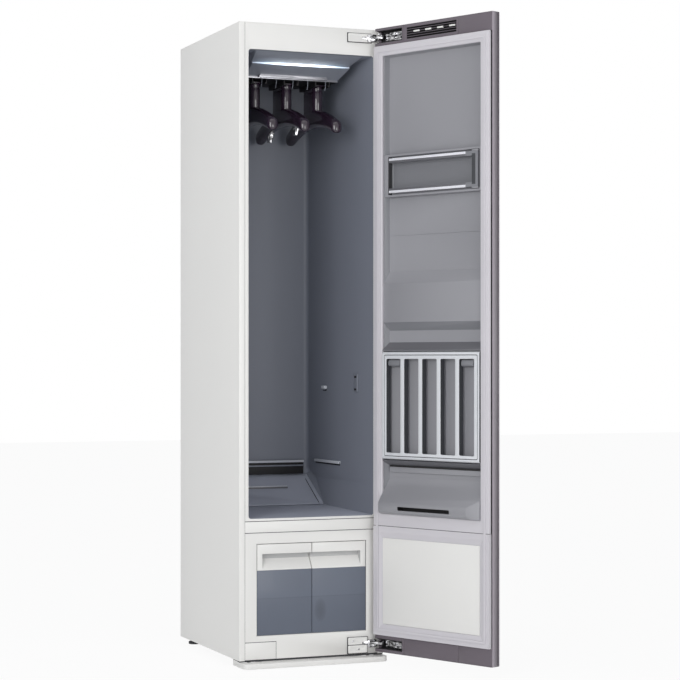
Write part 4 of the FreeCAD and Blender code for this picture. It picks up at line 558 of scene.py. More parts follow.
def turned(name, profile, steps, axis="z"):
    """A round piece at the origin: a profile of (radius, height) spun about an axis."""
    piece = started(name, len(profile), "NOTHING")
    for vertex, (radius, height) in zip(piece.data.vertices, profile):
        vertex.co = (radius, 0, height)
    with editing(piece):
        bpy.ops.mesh.spin(steps=steps, angle=math.tau, center=(0, 0, 0), axis=(0, 0, 1))
        bpy.ops.mesh.select_all(action="SELECT")
        bpy.ops.mesh.remove_doubles(threshold=mm(0.01))
        face_outwards()
    return smooth(stood(piece, (0, 0, 0), axis))


def stood(piece, place, axis):
    """Moves a piece that was made round Z to a place, and turns it to look along an axis."""
    tip = Matrix.Rotation(math.radians(-90), 4, "X") if axis == "y" else Matrix.Identity(4)
    piece.matrix_world = Matrix.Translation(Vector(place)) @ tip
    return settle(piece)


def smooth(piece, angle=30.0):
    only(piece)
    bpy.ops.object.shade_smooth_by_angle(angle=math.radians(angle))
    return piece


def rounded(piece, width, segments=3, angle=30.0):
    """Rounds the edges sharper than an angle and shades the rest smooth."""
    limit = math.radians(angle)
    finish_with(piece, "BEVEL", width=width, segments=segments, limit_method="ANGLE", angle_limit=limit)
    return smooth(piece, angle)


def combined(piece, operation, *others):
    """Cuts other pieces out of a piece, or welds them to it."""
    for other in others:
        finish_with(piece, "BOOLEAN", operation=operation, object=other, solver="EXACT")
        bpy.data.objects.remove(other, do_unlink=True)
    with editing(piece):
        bpy.ops.mesh.remove_doubles(threshold=mm(0.02))
        bpy.ops.mesh.dissolve_limited(angle_limit=math.radians(0.5))
    return piece


def carved(piece, *tools):
    return combined(piece, "DIFFERENCE", *tools)


def collected(name, *pieces):
    """Joins pieces into one object without cutting them."""
    bpy.ops.object.select_all(action="DESELECT")
    for piece in pieces:
        piece.select_set(True)
    bpy.context.view_layer.objects.active = pieces[0]
    bpy.ops.object.join()
    pieces[0].name = name
    return pieces[0]


def mirrored(piece):
    """A copy of a piece on the other side of the cabinet's middle."""
    copy = placed(piece.name + "_other", piece.data.copy())
    copy.scale = (-1, 1, 1)
    with editing(settle(copy)):
        face_outwards()
    return copy


def hung(piece):
    """Turns a piece that was modelled on the shut door to where the open door has it."""
    piece.matrix_world = OPEN_TURN @ piece.matrix_world
    return settle(piece)


def wire(name, points, radius):
    """A bent wire: a smooth curve through a few points, made a mesh."""
    curve = bpy.data.curves.new(name, "CURVE")
    curve.dimensions = "3D"
    curve.bevel_depth = radius
    curve.bevel_resolution = 3
    curve.use_fill_caps = True
    spline = curve.splines.new("NURBS")
    spline.points.add(len(points) - 1)
    for point, place in zip(spline.points, points):
        point.co = (*place, 1)
    spline.order_u = 3
    spline.use_endpoint_u = True
    only(placed(name, curve))
    bpy.ops.object.convert(target="MESH")
    return smooth(bpy.context.object, 60)


def tapered(name, near, far, axis, start, end):
    """A prism whose outline changes from one end to the other."""
    piece = prism(name, near, axis, start, end)
    along, (first, second) = AXES[axis]
    corners = [Vector(point) for point in near]
    for vertex in piece.data.vertices:
        if abs(vertex.co[along] - end) < mm(0.001):
            spot = Vector((vertex.co[first], vertex.co[second]))
            nearest = min(range(len(corners)), key=lambda i: (corners[i] - spot).length)
            vertex.co[first], vertex.co[second] = far[nearest]
    return piece


def sliced(piece, point, normal):
    """Cuts off what lies beyond a plane and closes the cut."""
    with editing(piece):
        bpy.ops.mesh.bisect(plane_co=point, plane_no=normal, use_fill=True, clear_outer=True)
    return piece


def scored(piece, *planes):
    """Splits the faces of a piece along planes, each a point and a normal."""
    for point, normal in planes:
        with editing(piece):
            bpy.ops.mesh.bisect(plane_co=point, plane_no=normal)
    return piece


def trimmed(piece, axis, place, shift):
    """Moves the flat end of a piece that lies at a place on an axis, in millimetres."""
    number = AXES[axis][0]
    for vertex in piece.data.vertices:
        if abs(vertex.co[number] - mm(place)) < mm(0.15):
            vertex.co[number] += mm(shift)
    return piece


def screw_head(place, radius, side=1):
    """A pan head screw with a cross recess, whose crown looks along Y, or against it where side is -1."""
    profile = ((0, 0), (1, 0), (1, 0.25), (0.8, 0.55), (0.4, 0.68), (0, 0.7))
    head = turned("screw", [(r * radius, h * radius * side) for r, h in profile], 20)
    deep = sorted((radius * 0.35 * side, radius * 0.9 * side))
    for x, y in ((radius * 0.62, radius * 0.13), (radius * 0.13, radius * 0.62)):
        carved(head, block("recess", (-x, -y, deep[0]), (x, y, deep[1])))
    return smooth(stood(head, place, "y"))


# ---------------------------------------------------------------- finishing helpers


def finished(piece, finish, **parts):
    """Gives a piece one finish all over, and then other finishes to the faces that pass their tests."""
    materials = piece.data.materials
    materials.clear()
    materials.append(finishes[finish])
    for number, (other, test) in enumerate(parts.items(), 1):
        materials.append(finishes[other])
        for face in piece.data.polygons:
            if test(face):
                face.material_index = number
    return piece


def added(piece, node, finish, slot=None):
    """Finishes a piece that a node's body carries besides its solids."""
    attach(finished(piece, finish), body_of(node))
    slot or slot_of(node)
    return piece


def replacing(piece, node, finish=None, **parts):
    """Finishes a piece, unless it has its finishes, and puts it in the place of a node."""
    if finish:
        finished(piece, finish, **parts)
    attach(piece, body_of(node))
    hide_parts(node)
    slot_of(node)
    return piece


def copied(node):
    """A copy of a solid with its loose triangles merged, ready to be worked on."""
    piece = placed(node + "_finished", frame["nodes"][node].data.copy())
    piece.data.materials.clear()
    with editing(piece):
        bpy.ops.mesh.remove_doubles(threshold=mm(0.005))
        bpy.ops.mesh.dissolve_limited(angle_limit=math.radians(1.0))
    return piece


def softened(width, finish, *nodes, **parts):
    """Copies of solids with their edges rounded, which take the solids' places. Gives the last one."""
    for node in nodes:
        piece = replacing(rounded(copied(node), width), node, finish, **parts)
    return piece


# ---------------------------------------------------------------- outlines, in millimetres


def drawn(*points):
    """An outline from millimetres."""
    return [(a / 1000, b / 1000) for a, b in points]


def door_drawn(*points):
    """An outline (u, height) on the face of the shut door."""
    return [(across(u), z / 1000) for u, z in points]


def oval(left, right, low, high, radius, steps=5):
    """A rectangle with round corners."""
    points = []
    for x, z, start in (
        (right - radius, low + radius, -90),
        (right - radius, high - radius, 0),
        (left + radius, high - radius, 90),
        (left + radius, low + radius, 180),
    ):
        for step in range(steps + 1):
            angle = math.radians(start + 90 * step / steps)
            points.append((x + radius * math.cos(angle), z + radius * math.sin(angle)))
    return points


def door_plate(name, outline, near, far):
    """A plate on the shut door: an outline (u, height) from one off to another."""
    return prism(name, door_drawn(*outline), "y", proud(near), proud(far))


def door_ring(name, outer, inner, near, far):
    """A flat frame on the shut door: a plate with a smaller outline cut through it."""
    return carved(door_plate(name, outer, near, far), door_plate("hole", inner, near - 1, far + 1))


def door_rail(name, outline, start, end):
    """A straight piece across the shut door: an outline (off, height) from one u to another."""
    return prism(name, [(proud(off), z / 1000) for off, z in outline], "x", across(end), across(start))


def door_block(name, us, offs, heights):
    """A box on the shut door."""
    (start, end), (near, far), (low, high) = us, offs, heights
    return block(name, (across(end), proud(near), mm(low)), (across(start), proud(far), mm(high)))


# ---------------------------------------------------------------- casing

# Seams on the front: one end, the other end (X and height) and the width, in millimetres.
FRONT_SEAMS = (
    ((-205.2, 22), (-205.2, 1849), 1.0),
    ((205.2, 22), (205.2, 1849), 1.0),
    ((-204.6, 420.2), (204.6, 420.2), 1.9),
    ((-204.6, 387.2), (204.6, 387.2), 1.9),
    ((-204.6, 73.7), (-110.3, 73.7), 1.7),
    ((-110.3, 22.8), (-110.3, 73.7), 1.4),
    ((-222, 22.9), (222, 22.9), 2.8),
)
BAY_SEAMS = (
    ((-169, 91.6), (169, 91.6), 1.4),
    ((-169, 354.9), (169, 354.9), 1.6),
    ((-168.9, 91.6), (-168.9, 354.9), 1.6),
    ((168.9, 91.6), (168.9, 354.9), 1.6),
)
# The strips of painted shade in the bay's seams leave room for the lids, which pass under the upper seam.
BAY_SEAM_SHADE = (((-169, 355.4), (169, 355.4), 0.6), *BAY_SEAMS[2:])


def groove(seam, near, far):
    """A straight bar along a seam, from one depth behind the casing's front to another, in millimetres."""
    (left, low), (right, high), width = seam
    half = width / 2
    start = (mm(left - half), CASING_FRONT + mm(near), mm(low - half))
    return block("groove", start, (mm(right + half), CASING_FRONT + mm(far), mm(high + half)))


class CABINET_OT_casing(bpy.types.Operator):
    """Finishes the casing's sheets, the front mouldings, the feet and the back"""

    bl_idname = "steam_cabinet.casing"
    bl_label = "Casing"

    def execute(self, context):
        sizes = context.scene.cabinet_sizes
        softened(sizes.sheet_edge, "paint", "left_side_panel", "right_side_panel", "top_panel")
        for node in ("front_frame", "sill_strip", "lower_fascia", "service_cover"):
            panel = softened(sizes.moulded_edge, "moulding", node)
            seams = FRONT_SEAMS + (BAY_SEAMS if node == "lower_fascia" else ())
            smooth(carved(panel, *[groove(seam, -1, 1.4) for seam in seams]))
        # The top of the foot plate's raised back, in the gap under the fascia, is painted dark as shade.
        softened(mm(2), "moulding", "foot_plate", black=lambda face: face.center.z > mm(19.6))
        softened(sizes.sheet_edge, "bare", "back_panel", "chassis")
        softened(mm(1.5), "rubber", "levelling_feet")
        softened(mm(0.5), "black", "power_inlet")
        self.add_screws(sizes.screw_head)
        self.shade_seams()
        return {"FINISHED"}

    def shade_seams(self):
        """Painted shade: dark strips at the bottom of the front's seams, and a dark strip in the gap over the foot
        plate.
        """
        seals = [groove(seam, 0.8, 1.3) for seam in FRONT_SEAMS + BAY_SEAM_SHADE]
        seals.append(block("kick_strip", mm(-222, -279.4, 18.8), mm(222, -278.8, 24.4)))
        added(collected("front_seals", *seals), "front_frame", "rubber", slot_of("levelling_feet"))

    def add_screws(self, radius):
        """Screws up both sides of the back panel."""
        low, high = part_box("back_panel")
        side = high[0] - mm(11)
        heads = [
            screw_head((x, high[1], low[2] + (high[2] - low[2]) * share), radius)
            for x in (-side, side)
            for share in (0.02, 0.26, 0.5, 0.74, 0.98)
        ]
        added(collected("back_screws", *heads), "back_panel", "chrome", "steel")


# ---------------------------------------------------------------- cavity

# The cavity's walls stand this far from the middle at the front, and lean in by this much on this depth.
WALL_FRONT, WALL_HALF, WALL_LEAN, WALL_DEPTH = -277, 194, 16, 494.5


class CABINET_OT_cavity(bpy.types.Operator):
    """Lines the cavity and finishes what is fixed in it"""

    bl_idname = "steam_cabinet.cavity"
    bl_label = "Cavity"

    def execute(self, context):
        self.line_cavity(context.scene.cabinet_sizes.tub_corner)
        self.add_ramp()
        softened(mm(1), "cove", "lint_filter")
        # The bright bar on the filter is a painted highlight.
        grip = rounded(block("filter_grip", mm(-161, 165.5, 481), mm(-49, 170.5, 487)), mm(1))
        added(grip, "lint_filter", "fittings")
        self.add_grille()
        self.add_fittings()
        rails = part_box("ceiling_module")[0][2] + mm(15.5)
        softened(mm(1.2), "module", "ceiling_module", black=lambda face: face.center.z < rails)
        self.add_lens()
        self.add_bar()
        return {"FINISHED"}

    def line_cavity(self, corner):
        """The tub: straight walls round the floor pan, leaning ones above, and rounded inner corners."""
        low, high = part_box("cavity_tub")
        wall, foot, up = mm(3), mm(521), Vector((0, 0, 1))
        tub = scored(copied("cavity_tub"), *[(Vector((0, 0, mm(z))), up) for z in (545, 520)])
        for vertex in tub.data.vertices:
            if vertex.co.z < foot and abs(vertex.co.x) > mm(170):
                share = (vertex.co.y - low[1]) / (high[1] - low[1])
                vertex.co.x += math.copysign(mm(WALL_LEAN) * share, vertex.co.x)

        def inner_corner(edge):
            middle = (edge.verts[0].co + edge.verts[1].co) / 2
            inside = abs(middle.x) < high[0] - wall and low[2] + wall / 2 < middle.z < high[2] - wall
            straight = len(edge.link_faces) == 2 and edge.calc_face_angle() > math.radians(60)
            return edge.calc_length() > mm(20) and not edge.is_convex and straight and inside

        with editing(tub):
            choose(tub, "EDGE", inner_corner)
            bpy.ops.mesh.bevel(offset=corner, segments=6, affect="EDGES")
        rounded(tub, mm(1), 2, 40)
        # The floor's upward faces get a lighter copy of the lining colour as painted light.
        replacing(tub, "cavity_tub", "tub", pan=lambda face: face.normal.z > 0.9 and face.center.z < mm(440))

    def add_ramp(self):
        """The slope at the back of the pan, wider at its foot, with its lines, corner facets and ridge. The slope
        gets the floor's painted light, its lines and the strip under the ridge painted shade, and the ridge a
        painted highlight.
        """
        ramp = copied("rear_ramp")
        low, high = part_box("rear_ramp")
        foot_half, narrowing = 193.6, 20
        for vertex in ramp.data.vertices:
            if abs(vertex.co.x) > mm(170):
                share = (vertex.co.y - low[1]) / (high[1] - low[1])
                vertex.co.x = math.copysign(mm(foot_half - narrowing * share), vertex.co.x)
        for side in (-1, 1):
            line = [(side * x, y) for x, y in ((162, 203), (164.4, 203), (180.4, 122), (178, 122))]
            carved(ramp, prism("line", drawn(*line), "z", mm(400), mm(540)))
        rounded(ramp, mm(0.8))
        corner = prism("corner", drawn((173.6, 217), (194, 217), (193.8, 119)), "z", mm(434), mm(500))
        for vertex in corner.data.vertices:
            if vertex.co.z > mm(499):
                vertex.co.z = mm(436 if vertex.co.y < mm(120) else 522.5 if vertex.co.x < mm(180) else 548)
        smooth(corner)
        replacing(ramp, "rear_ramp", "pan", black=self.in_line)
        added(collected("ramp_corners", corner, mirrored(corner)), "rear_ramp", "tub")
        for name, finish, near, low, high in (
            ("ramp_ridge", "fittings", 174, 486.8, 490.2),
            ("ramp_shadow", "cove", 170, 482, 486.8),
        ):
            strip = block(name, mm(-40, near, low), mm(93, near + 7, high))
            added(rounded(strip, mm(0.6), 2), "rear_ramp", finish)

    def in_line(self, face):
        """True for the sides of the lines near the ramp's sides, which are painted dark as shade."""
        return mm(160) < abs(face.center.x) < mm(181) and abs(face.normal.x) > 0.8

    def add_grille(self):
        """The air return: a lip with a painted highlight over a dark slot, a bar, and a strip of painted shade in
        the gap down to the ramp.
        """
        low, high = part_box("air_return_grille")
        half, face = high[0], low[1]
        softened(mm(0.8), "cove", "air_return_grille")
        for name, finish, reach, bottom, top, edge, segments in (
            ("grille_lip", "fittings", 7, 560.5, 567.5, 1.2, 3),
            ("grille_bar", "tub", 3, 548.5, 553, 0.8, 3),
            ("grille_gap", "black", 1, 524, 561.5, 0.4, 2),
        ):
            strip = block(name, (-half, face - mm(reach), mm(bottom)), (half, face + mm(1), mm(top)))
            added(rounded(strip, mm(edge), segments), "air_return_grille", finish)

    def add_fittings(self):
        """On each side wall a ledge and a tab with bright faces as painted highlights, dark strips under them as
        painted shade, and a hook plate with two holes painted dark as shade.
        """
        bright, dark = [], []
        for start, end, low, high, reach, pieces in (
            (-38, 150, 566, 574, 7, bright), (-36, 148, 561, 566, 3, dark),
            (66, 90, 794, 803, 9, bright), (68, 88, 787, 794, 4, dark),
            (-168, -156, 829, 835, 7.4, dark), (-168, -156, 792, 798, 7.4, dark),
        ):
            near, far = [WALL_HALF - WALL_LEAN * (y - WALL_FRONT) / WALL_DEPTH for y in (start, end)]
            outline = [(near + 1, start), (far + 1, end), (far - reach, end), (near - reach, start)]
            piece = rounded(prism("fitting", drawn(*outline), "z", mm(low), mm(high)), mm(0.8), 2)
            pieces += [piece, mirrored(piece)]
        added(collected("wall_ledges", *bright), "wall_fittings", "fittings")
        added(collected("wall_notches", *dark), "wall_fittings", "black")
        softened(mm(1), "tub", "wall_fittings")

    def add_lens(self):
        """The diffuser, slimmer towards its ends."""
        low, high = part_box("light_lens")
        lower = [(-152.5, 1747.4), (-70, 1745.7), (70, 1745.7), (152.5, 1747.4)]
        upper = [(152.5, 1749.6), (70, 1751.3), (-70, 1751.3), (-152.5, 1749.6)]
        lens = prism("light_lens_finished", drawn(*lower, *upper), "y", low[1], high[1])
        replacing(rounded(lens, mm(0.4), 2, 60), "light_lens", "light")

    def add_bar(self):
        """The hanger bar with its raised plate, and five wire clips that hang from it."""
        outline = drawn((-147, 1715), (147, 1715), (142, 1722), (-142, 1722))
        bar = rounded(prism("bar", outline, "y", mm(-118), mm(-110.5)), mm(0.8))
        outline = drawn((-110, 1717), (110, 1717), (104, 1727), (-104, 1727))
        plate = prism("plate", outline, "y", mm(-131), mm(-117))
        mark = block("mark", mm(-11, -133, 1720.5), mm(11, -130, 1723.5))
        pieces = [finished(bar, "bar"), finished(rounded(carved(plate, mark), mm(0.8)), "bar")]
        for x in (-94, -48.8, 4, 51.2, 108):
            bends = ((x, -113.5, 1716), (x, -113.5, 1708), (x - 1, -114, 1698), (x - 3, -115, 1688))
            pieces.append(finished(wire("clip", [mm(*bend) for bend in bends], mm(0.75)), "module"))
        replacing(collected("hanger_bar_finished", *pieces), "hanger_bar")


# ---------------------------------------------------------------- hangers


class CABINET_OT_hangers(bpy.types.Operator):
    """Models the air hangers and finishes their clips"""

    bl_idname = "steam_cabinet.hangers"
    bl_label = "Hangers"

    def execute(self, context):
        for side in ("left", "middle", "right"):
            self.add_hanger(side)
        softened(mm(0.5), "chrome", "clip_jaw_front", "clip_jaw_rear")
        return {"FINISHED"}

    def add_hanger(self, side):
        """A neck with a waist and a sleeve under a flat head, and two arms that droop in a curve."""
        node = f"hanger_{side}"
        low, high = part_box(node)
        x, middle = (low[0] + high[0]) / 2, (low[1] + high[1]) / 2
        head_low = high[2] - mm(4)
        foot = head_low - mm(66.3)

        def stem(name, half_x, half_y, corner, bottom, top, edge=0, steps=7):
            """One length of the upright part, its edges rounded where an edge is given."""
            ends = (x - mm(half_x), x + mm(half_x), middle - mm(half_y), middle + mm(half_y))
            piece = prism(name, oval(*ends, mm(corner), steps), "z", bottom, top)
            return rounded(piece, mm(edge), 2) if edge else piece

        hanger = collected(
            node + "_moulding",
            stem("neck", 16, 50, 15.5, foot - mm(14), head_low - mm(15), 1.2),
            stem("waist", 15, 49, 14.5, head_low - mm(17), head_low - mm(12)),
            stem("sleeve", 16, 50, 15.5, head_low - mm(12.5), head_low, 1),
            stem("head", 20, 50, 6, head_low, high[2], 0.8, 5),
            self.arms(x, middle, (high[1] - low[1]) / 2, foot, low[2]),
        )
        finished(hanger, "hanger")
        if side == "middle":
            hanger = collected(node + "_moulding", hanger, *self.clip_plates())
        replacing(hanger, node)

    def arms(self, x, middle, half_span, foot, tip):
        """The shoulders: a curved blade, thick in the middle, rounded all over."""
        steps, thick_tip, thick_root, half, droop = 9, mm(38), mm(58), mm(17), 1.7
        upper, lower = [], []
        for step in range(-steps, steps + 1):
            share = abs(step) / steps
            y = middle + half_span * step / steps
            top = foot - (foot - tip - thick_tip) * share**droop
            upper.append((y, top))
            lower.append((y, top - thick_root + (thick_root - thick_tip) * share))
        return rounded(prism("arms", upper + lower[::-1], "x", x - half, x + half), mm(14.5), 6, 40)

    def clip_plates(self):
        """The fixed jaw of each clip, with the ears of the moving jaw's pin."""
        plates = []
        for end in ("front", "rear"):
            (_, near, low), (_, far, high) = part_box(f"clip_jaw_{end}")
            plate = block("plate", (mm(-3), near, low), (0, far, high + mm(14)))
            windows = [
                block("window", (mm(-4), near + mm(6), bottom), (mm(1), far - mm(6), top))
                for bottom, top in ((low + mm(12), low + mm(20)), (high - mm(2), high + mm(8)))
            ]
            plates.append(rounded(carved(plate, *windows), mm(0.6), 2))
            pin = low + (high - low) * 0.7
            for start, stop in ((near, near + mm(3)), (far - mm(3), far)):
                ear = block("ear", (0, start, pin - mm(4)), (mm(11.2), stop, pin + mm(4)))
                plates.append(rounded(ear, mm(0.8), 2))
        return [finished(plate, "chrome") for plate in plates]


# ---------------------------------------------------------------- tanks


class CABINET_OT_tanks(bpy.types.Operator):
    """Finishes the tanks, their lids and the bay"""

    bl_idname = "steam_cabinet.tanks"
    bl_label = "Tanks"

    def execute(self, context):
        softened(mm(0.8), "duct", "tank_bay")
        for tank in ("fill", "drain"):
            shell, cap = f"{tank}_tank_shell", f"{tank}_tank_cap"
            replacing(rounded(self.narrowed(shell), mm(0.9)), shell, "tank")
            replacing(rounded(self.narrowed(cap), mm(1.4), 4), cap, "tank_cap", grip=self.in_recess)
            softened(mm(0.8), "tank_cap", f"{tank}_tank_lid")
        softened(mm(2), "black", "drain_tank_float")
        return {"FINISHED"}

    def narrowed(self, node):
        """A copy of a solid whose sides stand back a little, so that the gaps round it show."""
        piece = copied(node)
        for side in (-1, 1):
            trimmed(piece, "x", 168.6 * side, -0.7 * side)
            trimmed(piece, "x", 0.4 * side, 0.9 * side)
        return trimmed(trimmed(piece, "z", 91.9, 0.7), "z", 354.6, -0.7)

    def in_recess(self, face):
        """True for the back of a cap's hand recess, which is painted darker as shade."""
        _, y, z = face.center
        return mm(300) < z < mm(326.5) and CASING_FRONT + mm(3) < y < mm(-250)


# ---------------------------------------------------------------- door


class CABINET_OT_door_body(bpy.types.Operator):
    """Finishes the door's front, its pressed shell and the plain rails over and under the liner"""

    bl_idname = "steam_cabinet.door_body"
    bl_label = "Door body"

    def execute(self, context):
        softened(mm(1), "door_face", "door_front_panel", door_edge=self.at_edge)
        softened(mm(0.4), "door", "door_shell", door_edge=self.at_edge)
        self.add_rail("door_top_rail", self.thin_bars(copied("door_top_rail")), black=self.in_vent)
        self.add_rail("door_bottom_rail", copied("door_bottom_rail"))
        self.add_vent_clips()
        return {"FINISHED"}

    def add_rail(self, node, rail, **parts):
        """A rail with two seams across its face."""
        low, high = shut_box(node)
        for u in (112, 319):
            start = (across(u + 0.5), proud(-1.2), low.z - mm(1))
            carved(rail, hung(block("seam", start, (across(u - 0.5), proud(1), high.z + mm(1)))))
        replacing(rounded(rail, mm(0.6), 2), node, "door", **parts)

    def at_edge(self, face):
        """True for the faces at the door's free edge, which get a lighter colour as painted light."""
        return (SHUT_TURN @ face.center).x < across(439)

    def thin_bars(self, rail):
        """Takes half a millimetre off each side of the vent's bars."""
        for number in range(4):
            low = 1812.5 + 7 * number
            trimmed(trimmed(rail, "z", low, 0.5), "z", low + 2.5, -0.5)
        return rail

    def in_vent(self, face):
        """True for the faces between the vent's bars, which are painted dark as shade."""
        return in_patch(SHUT_TURN @ face.center, (123, 313), (1807, 1841), -0.7)

    def add_vent_clips(self):
        """Four pale retaining clips in the vent's second gap."""
        starts = [150 + 45 * step for step in range(4)]
        clips = [door_block("clip", (u, u + 22), (-4, 0.3), (1825.2, 1829.8)) for u in starts]
        clips = [rounded(clip, mm(0.5), 2) for clip in clips]
        added(hung(collected("vent_clips", *clips)), "door_top_rail", "insert", "liner_pale")


class CABINET_OT_door_liner(bpy.types.Operator):
    """Models the recessed liner of the door, its frames, its insert and its gasket"""

    bl_idname = "steam_cabinet.door_liner"
    bl_label = "Door liner"

    def execute(self, context):
        edge = context.scene.cabinet_sizes.liner_edge
        self.add_tray(edge)
        smooth(carved(softened(edge, "liner_frame", "upper_liner_frame"), self.seam(8.4, 12)))
        self.add_lower_frame(edge)
        # A dark bar in the gap between the liner frames, as painted shade.
        added(self.seam(8.4, 9.2), "upper_liner_frame", "rubber", slot_of("door_gasket"))
        softened(mm(1.5), "insert", "lower_insert")
        softened(mm(1.6), "liner_frame", "door_gasket")
        return {"FINISHED"}

    def add_tray(self, edge):
        """The tray with its forms, and the surround, tabs, ledge and shadow line that are set on it."""
        pieces = [
            self.tray(edge),
            self.surround(),
            *[self.tab(u) for u in (58, 335.2)],
            finished(rounded(door_plate("ledge", oval(49, 394, 557, 573, 7.8), -17, -9.5), mm(1.5)), "liner"),
            finished(door_plate("shadow", oval(50, 393, 572.5, 577, 2), -16.5, -8.5), "black"),
        ]
        replacing(hung(collected("upper_liner_tray", *pieces)), "upper_liner")

    def tray(self, edge):
        """The recess with its leaning sides, the relief over the shelf, the shelf's seat, and a pocket."""
        tray = door_plate("upper_liner_tray", ((31, 433), (412, 433), (412, 1771), (31, 1771)), -26, -0.25)
        start, end, lean = 35, 408, mm(8)
        hollow = (
            (12, 437), (12, 1767), (-1, 1767), (-16, 1763), (-16, 1243.8), (-17, 1243.2), (-16, 1242.6),
            (-16, 441), (-2, 437),
        )
        room = door_rail("room", hollow, start, end)
        for side, limit in ((1, across(start + 1)), (-1, across(end - 1))):
            with editing(room):
                choose(room, "VERT", lambda v: v.co.y < proud(-10) and v.co.x * side > limit * side)
                bpy.ops.transform.translate(value=(-lean * side, 0, 0))
        carved(tray, room)
        for name, outline in (
            ("relief", ((-20, 1139), (-16, 1139), (2, 1104), (2, 992), (-16, 968), (-20, 968))),
            ("roof", ((-20, 934), (-16, 934), (7, 911), (7, 909.5), (-20, 909.5))),
            ("sill", ((-20, 576), (-16, 576), (8, 592.5), (7, 593), (-20, 593))),
        ):
            combined(tray, "UNION", door_rail(name, outline, start, end))
        floor, mouth = door_drawn(*oval(52, 374, 1376, 1458, 5)), door_drawn(*oval(44, 378, 1369, 1465, 5))
        carved(tray, tapered("pocket", floor, mouth, "y", proud(-24), proud(-15)))
        outer, inner = oval(45.4, 400, 1358, 1476, 4), oval(46.8, 398.6, 1359.4, 1474.6, 3)
        carved(tray, door_ring("line", outer, inner, -17, -15))
        # The slopes over and under the shelf, the recess's side walls, the pocket's back and the relief's underside
        # are painted darker as shade.
        return finished(rounded(tray, edge * 0.8, 3, 20), "liner", cove=self.in_shaded_slope, pocket=self.in_wall)

    def surround(self):
        """The frame round the pocket, with painted shade on its side next to the hinges."""
        outer, inner = oval(38, 403, 1355.5, 1478.5, 4), oval(52, 397, 1361.5, 1472.5, 3)
        piece = rounded(door_ring("rail_surround", outer, inner, -16.2, 0), mm(0.8))
        return finished(piece, "liner", rubber=lambda face: face.center.x > across(53) and face.normal.x < -0.5)

    def tab(self, u):
        """A tab that reaches through a slot of the shelf and holds it, painted darker as shade."""
        outline = ((-16, 886), (-16, 863), (5, 865), (8, 869), (8, 877), (5, 884))
        return finished(rounded(door_rail("tab", outline, u, u + 45.4), mm(2)), "pocket")

    def seam(self, near, far):
        """The bar along the seam between the two liner frames, from one off to another."""
        return hung(door_block("liner_seam", (1.5, 440.5), (near, far), (398.9, 401.1)))

    def in_wall(self, face):
        """True for the recess's side walls, the back of the pocket and the underside of the relief, which get
        painted shade.
        """
        place, normal = face.center, face.normal
        wall = abs(normal.x) > 0.8 and (place.x > across(50) or place.x < across(390))
        under = normal.z < -0.2 and mm(967) < place.z < mm(993)
        return wall or in_patch(place, (45, 378), (1368, 1466), -16.3) or under

    def in_shaded_slope(self, face):
        """True for the sloped faces over and under the shelf, which get painted shade."""
        z, tilted = face.center.z, abs(face.normal.y) < 0.97
        return tilted and (mm(909) < z < mm(934.5) or mm(575.5) < z < mm(593.5)) and face.center.y < proud(8)

    def add_lower_frame(self, edge):
        """The lower frame: a flat border, and a wide chamfer down to the insert."""
        low, high = shut_box("lower_liner_frame")
        border, room = mm(16), mm(33)
        piece = block("lower_liner_moulding", low, high)

        def inset(by, below, above):
            return oval(low.x + mm(4) + by, high.x - by, low.z + below, high.z - above, mm(4))

        hole = inset(room, room, room + mm(1))
        rim = inset(border - mm(1), border - mm(1), border)
        carved(piece, tapered("slope", rim, hole, "y", high.y + mm(0.2), high.y - mm(4.5)))
        carved(piece, prism("hole", hole, "y", low.y - mm(1), high.y + mm(1)))
        rounded(piece, edge * 0.5, 3, 12)
        replacing(hung(piece), "lower_liner_frame", "liner_frame")


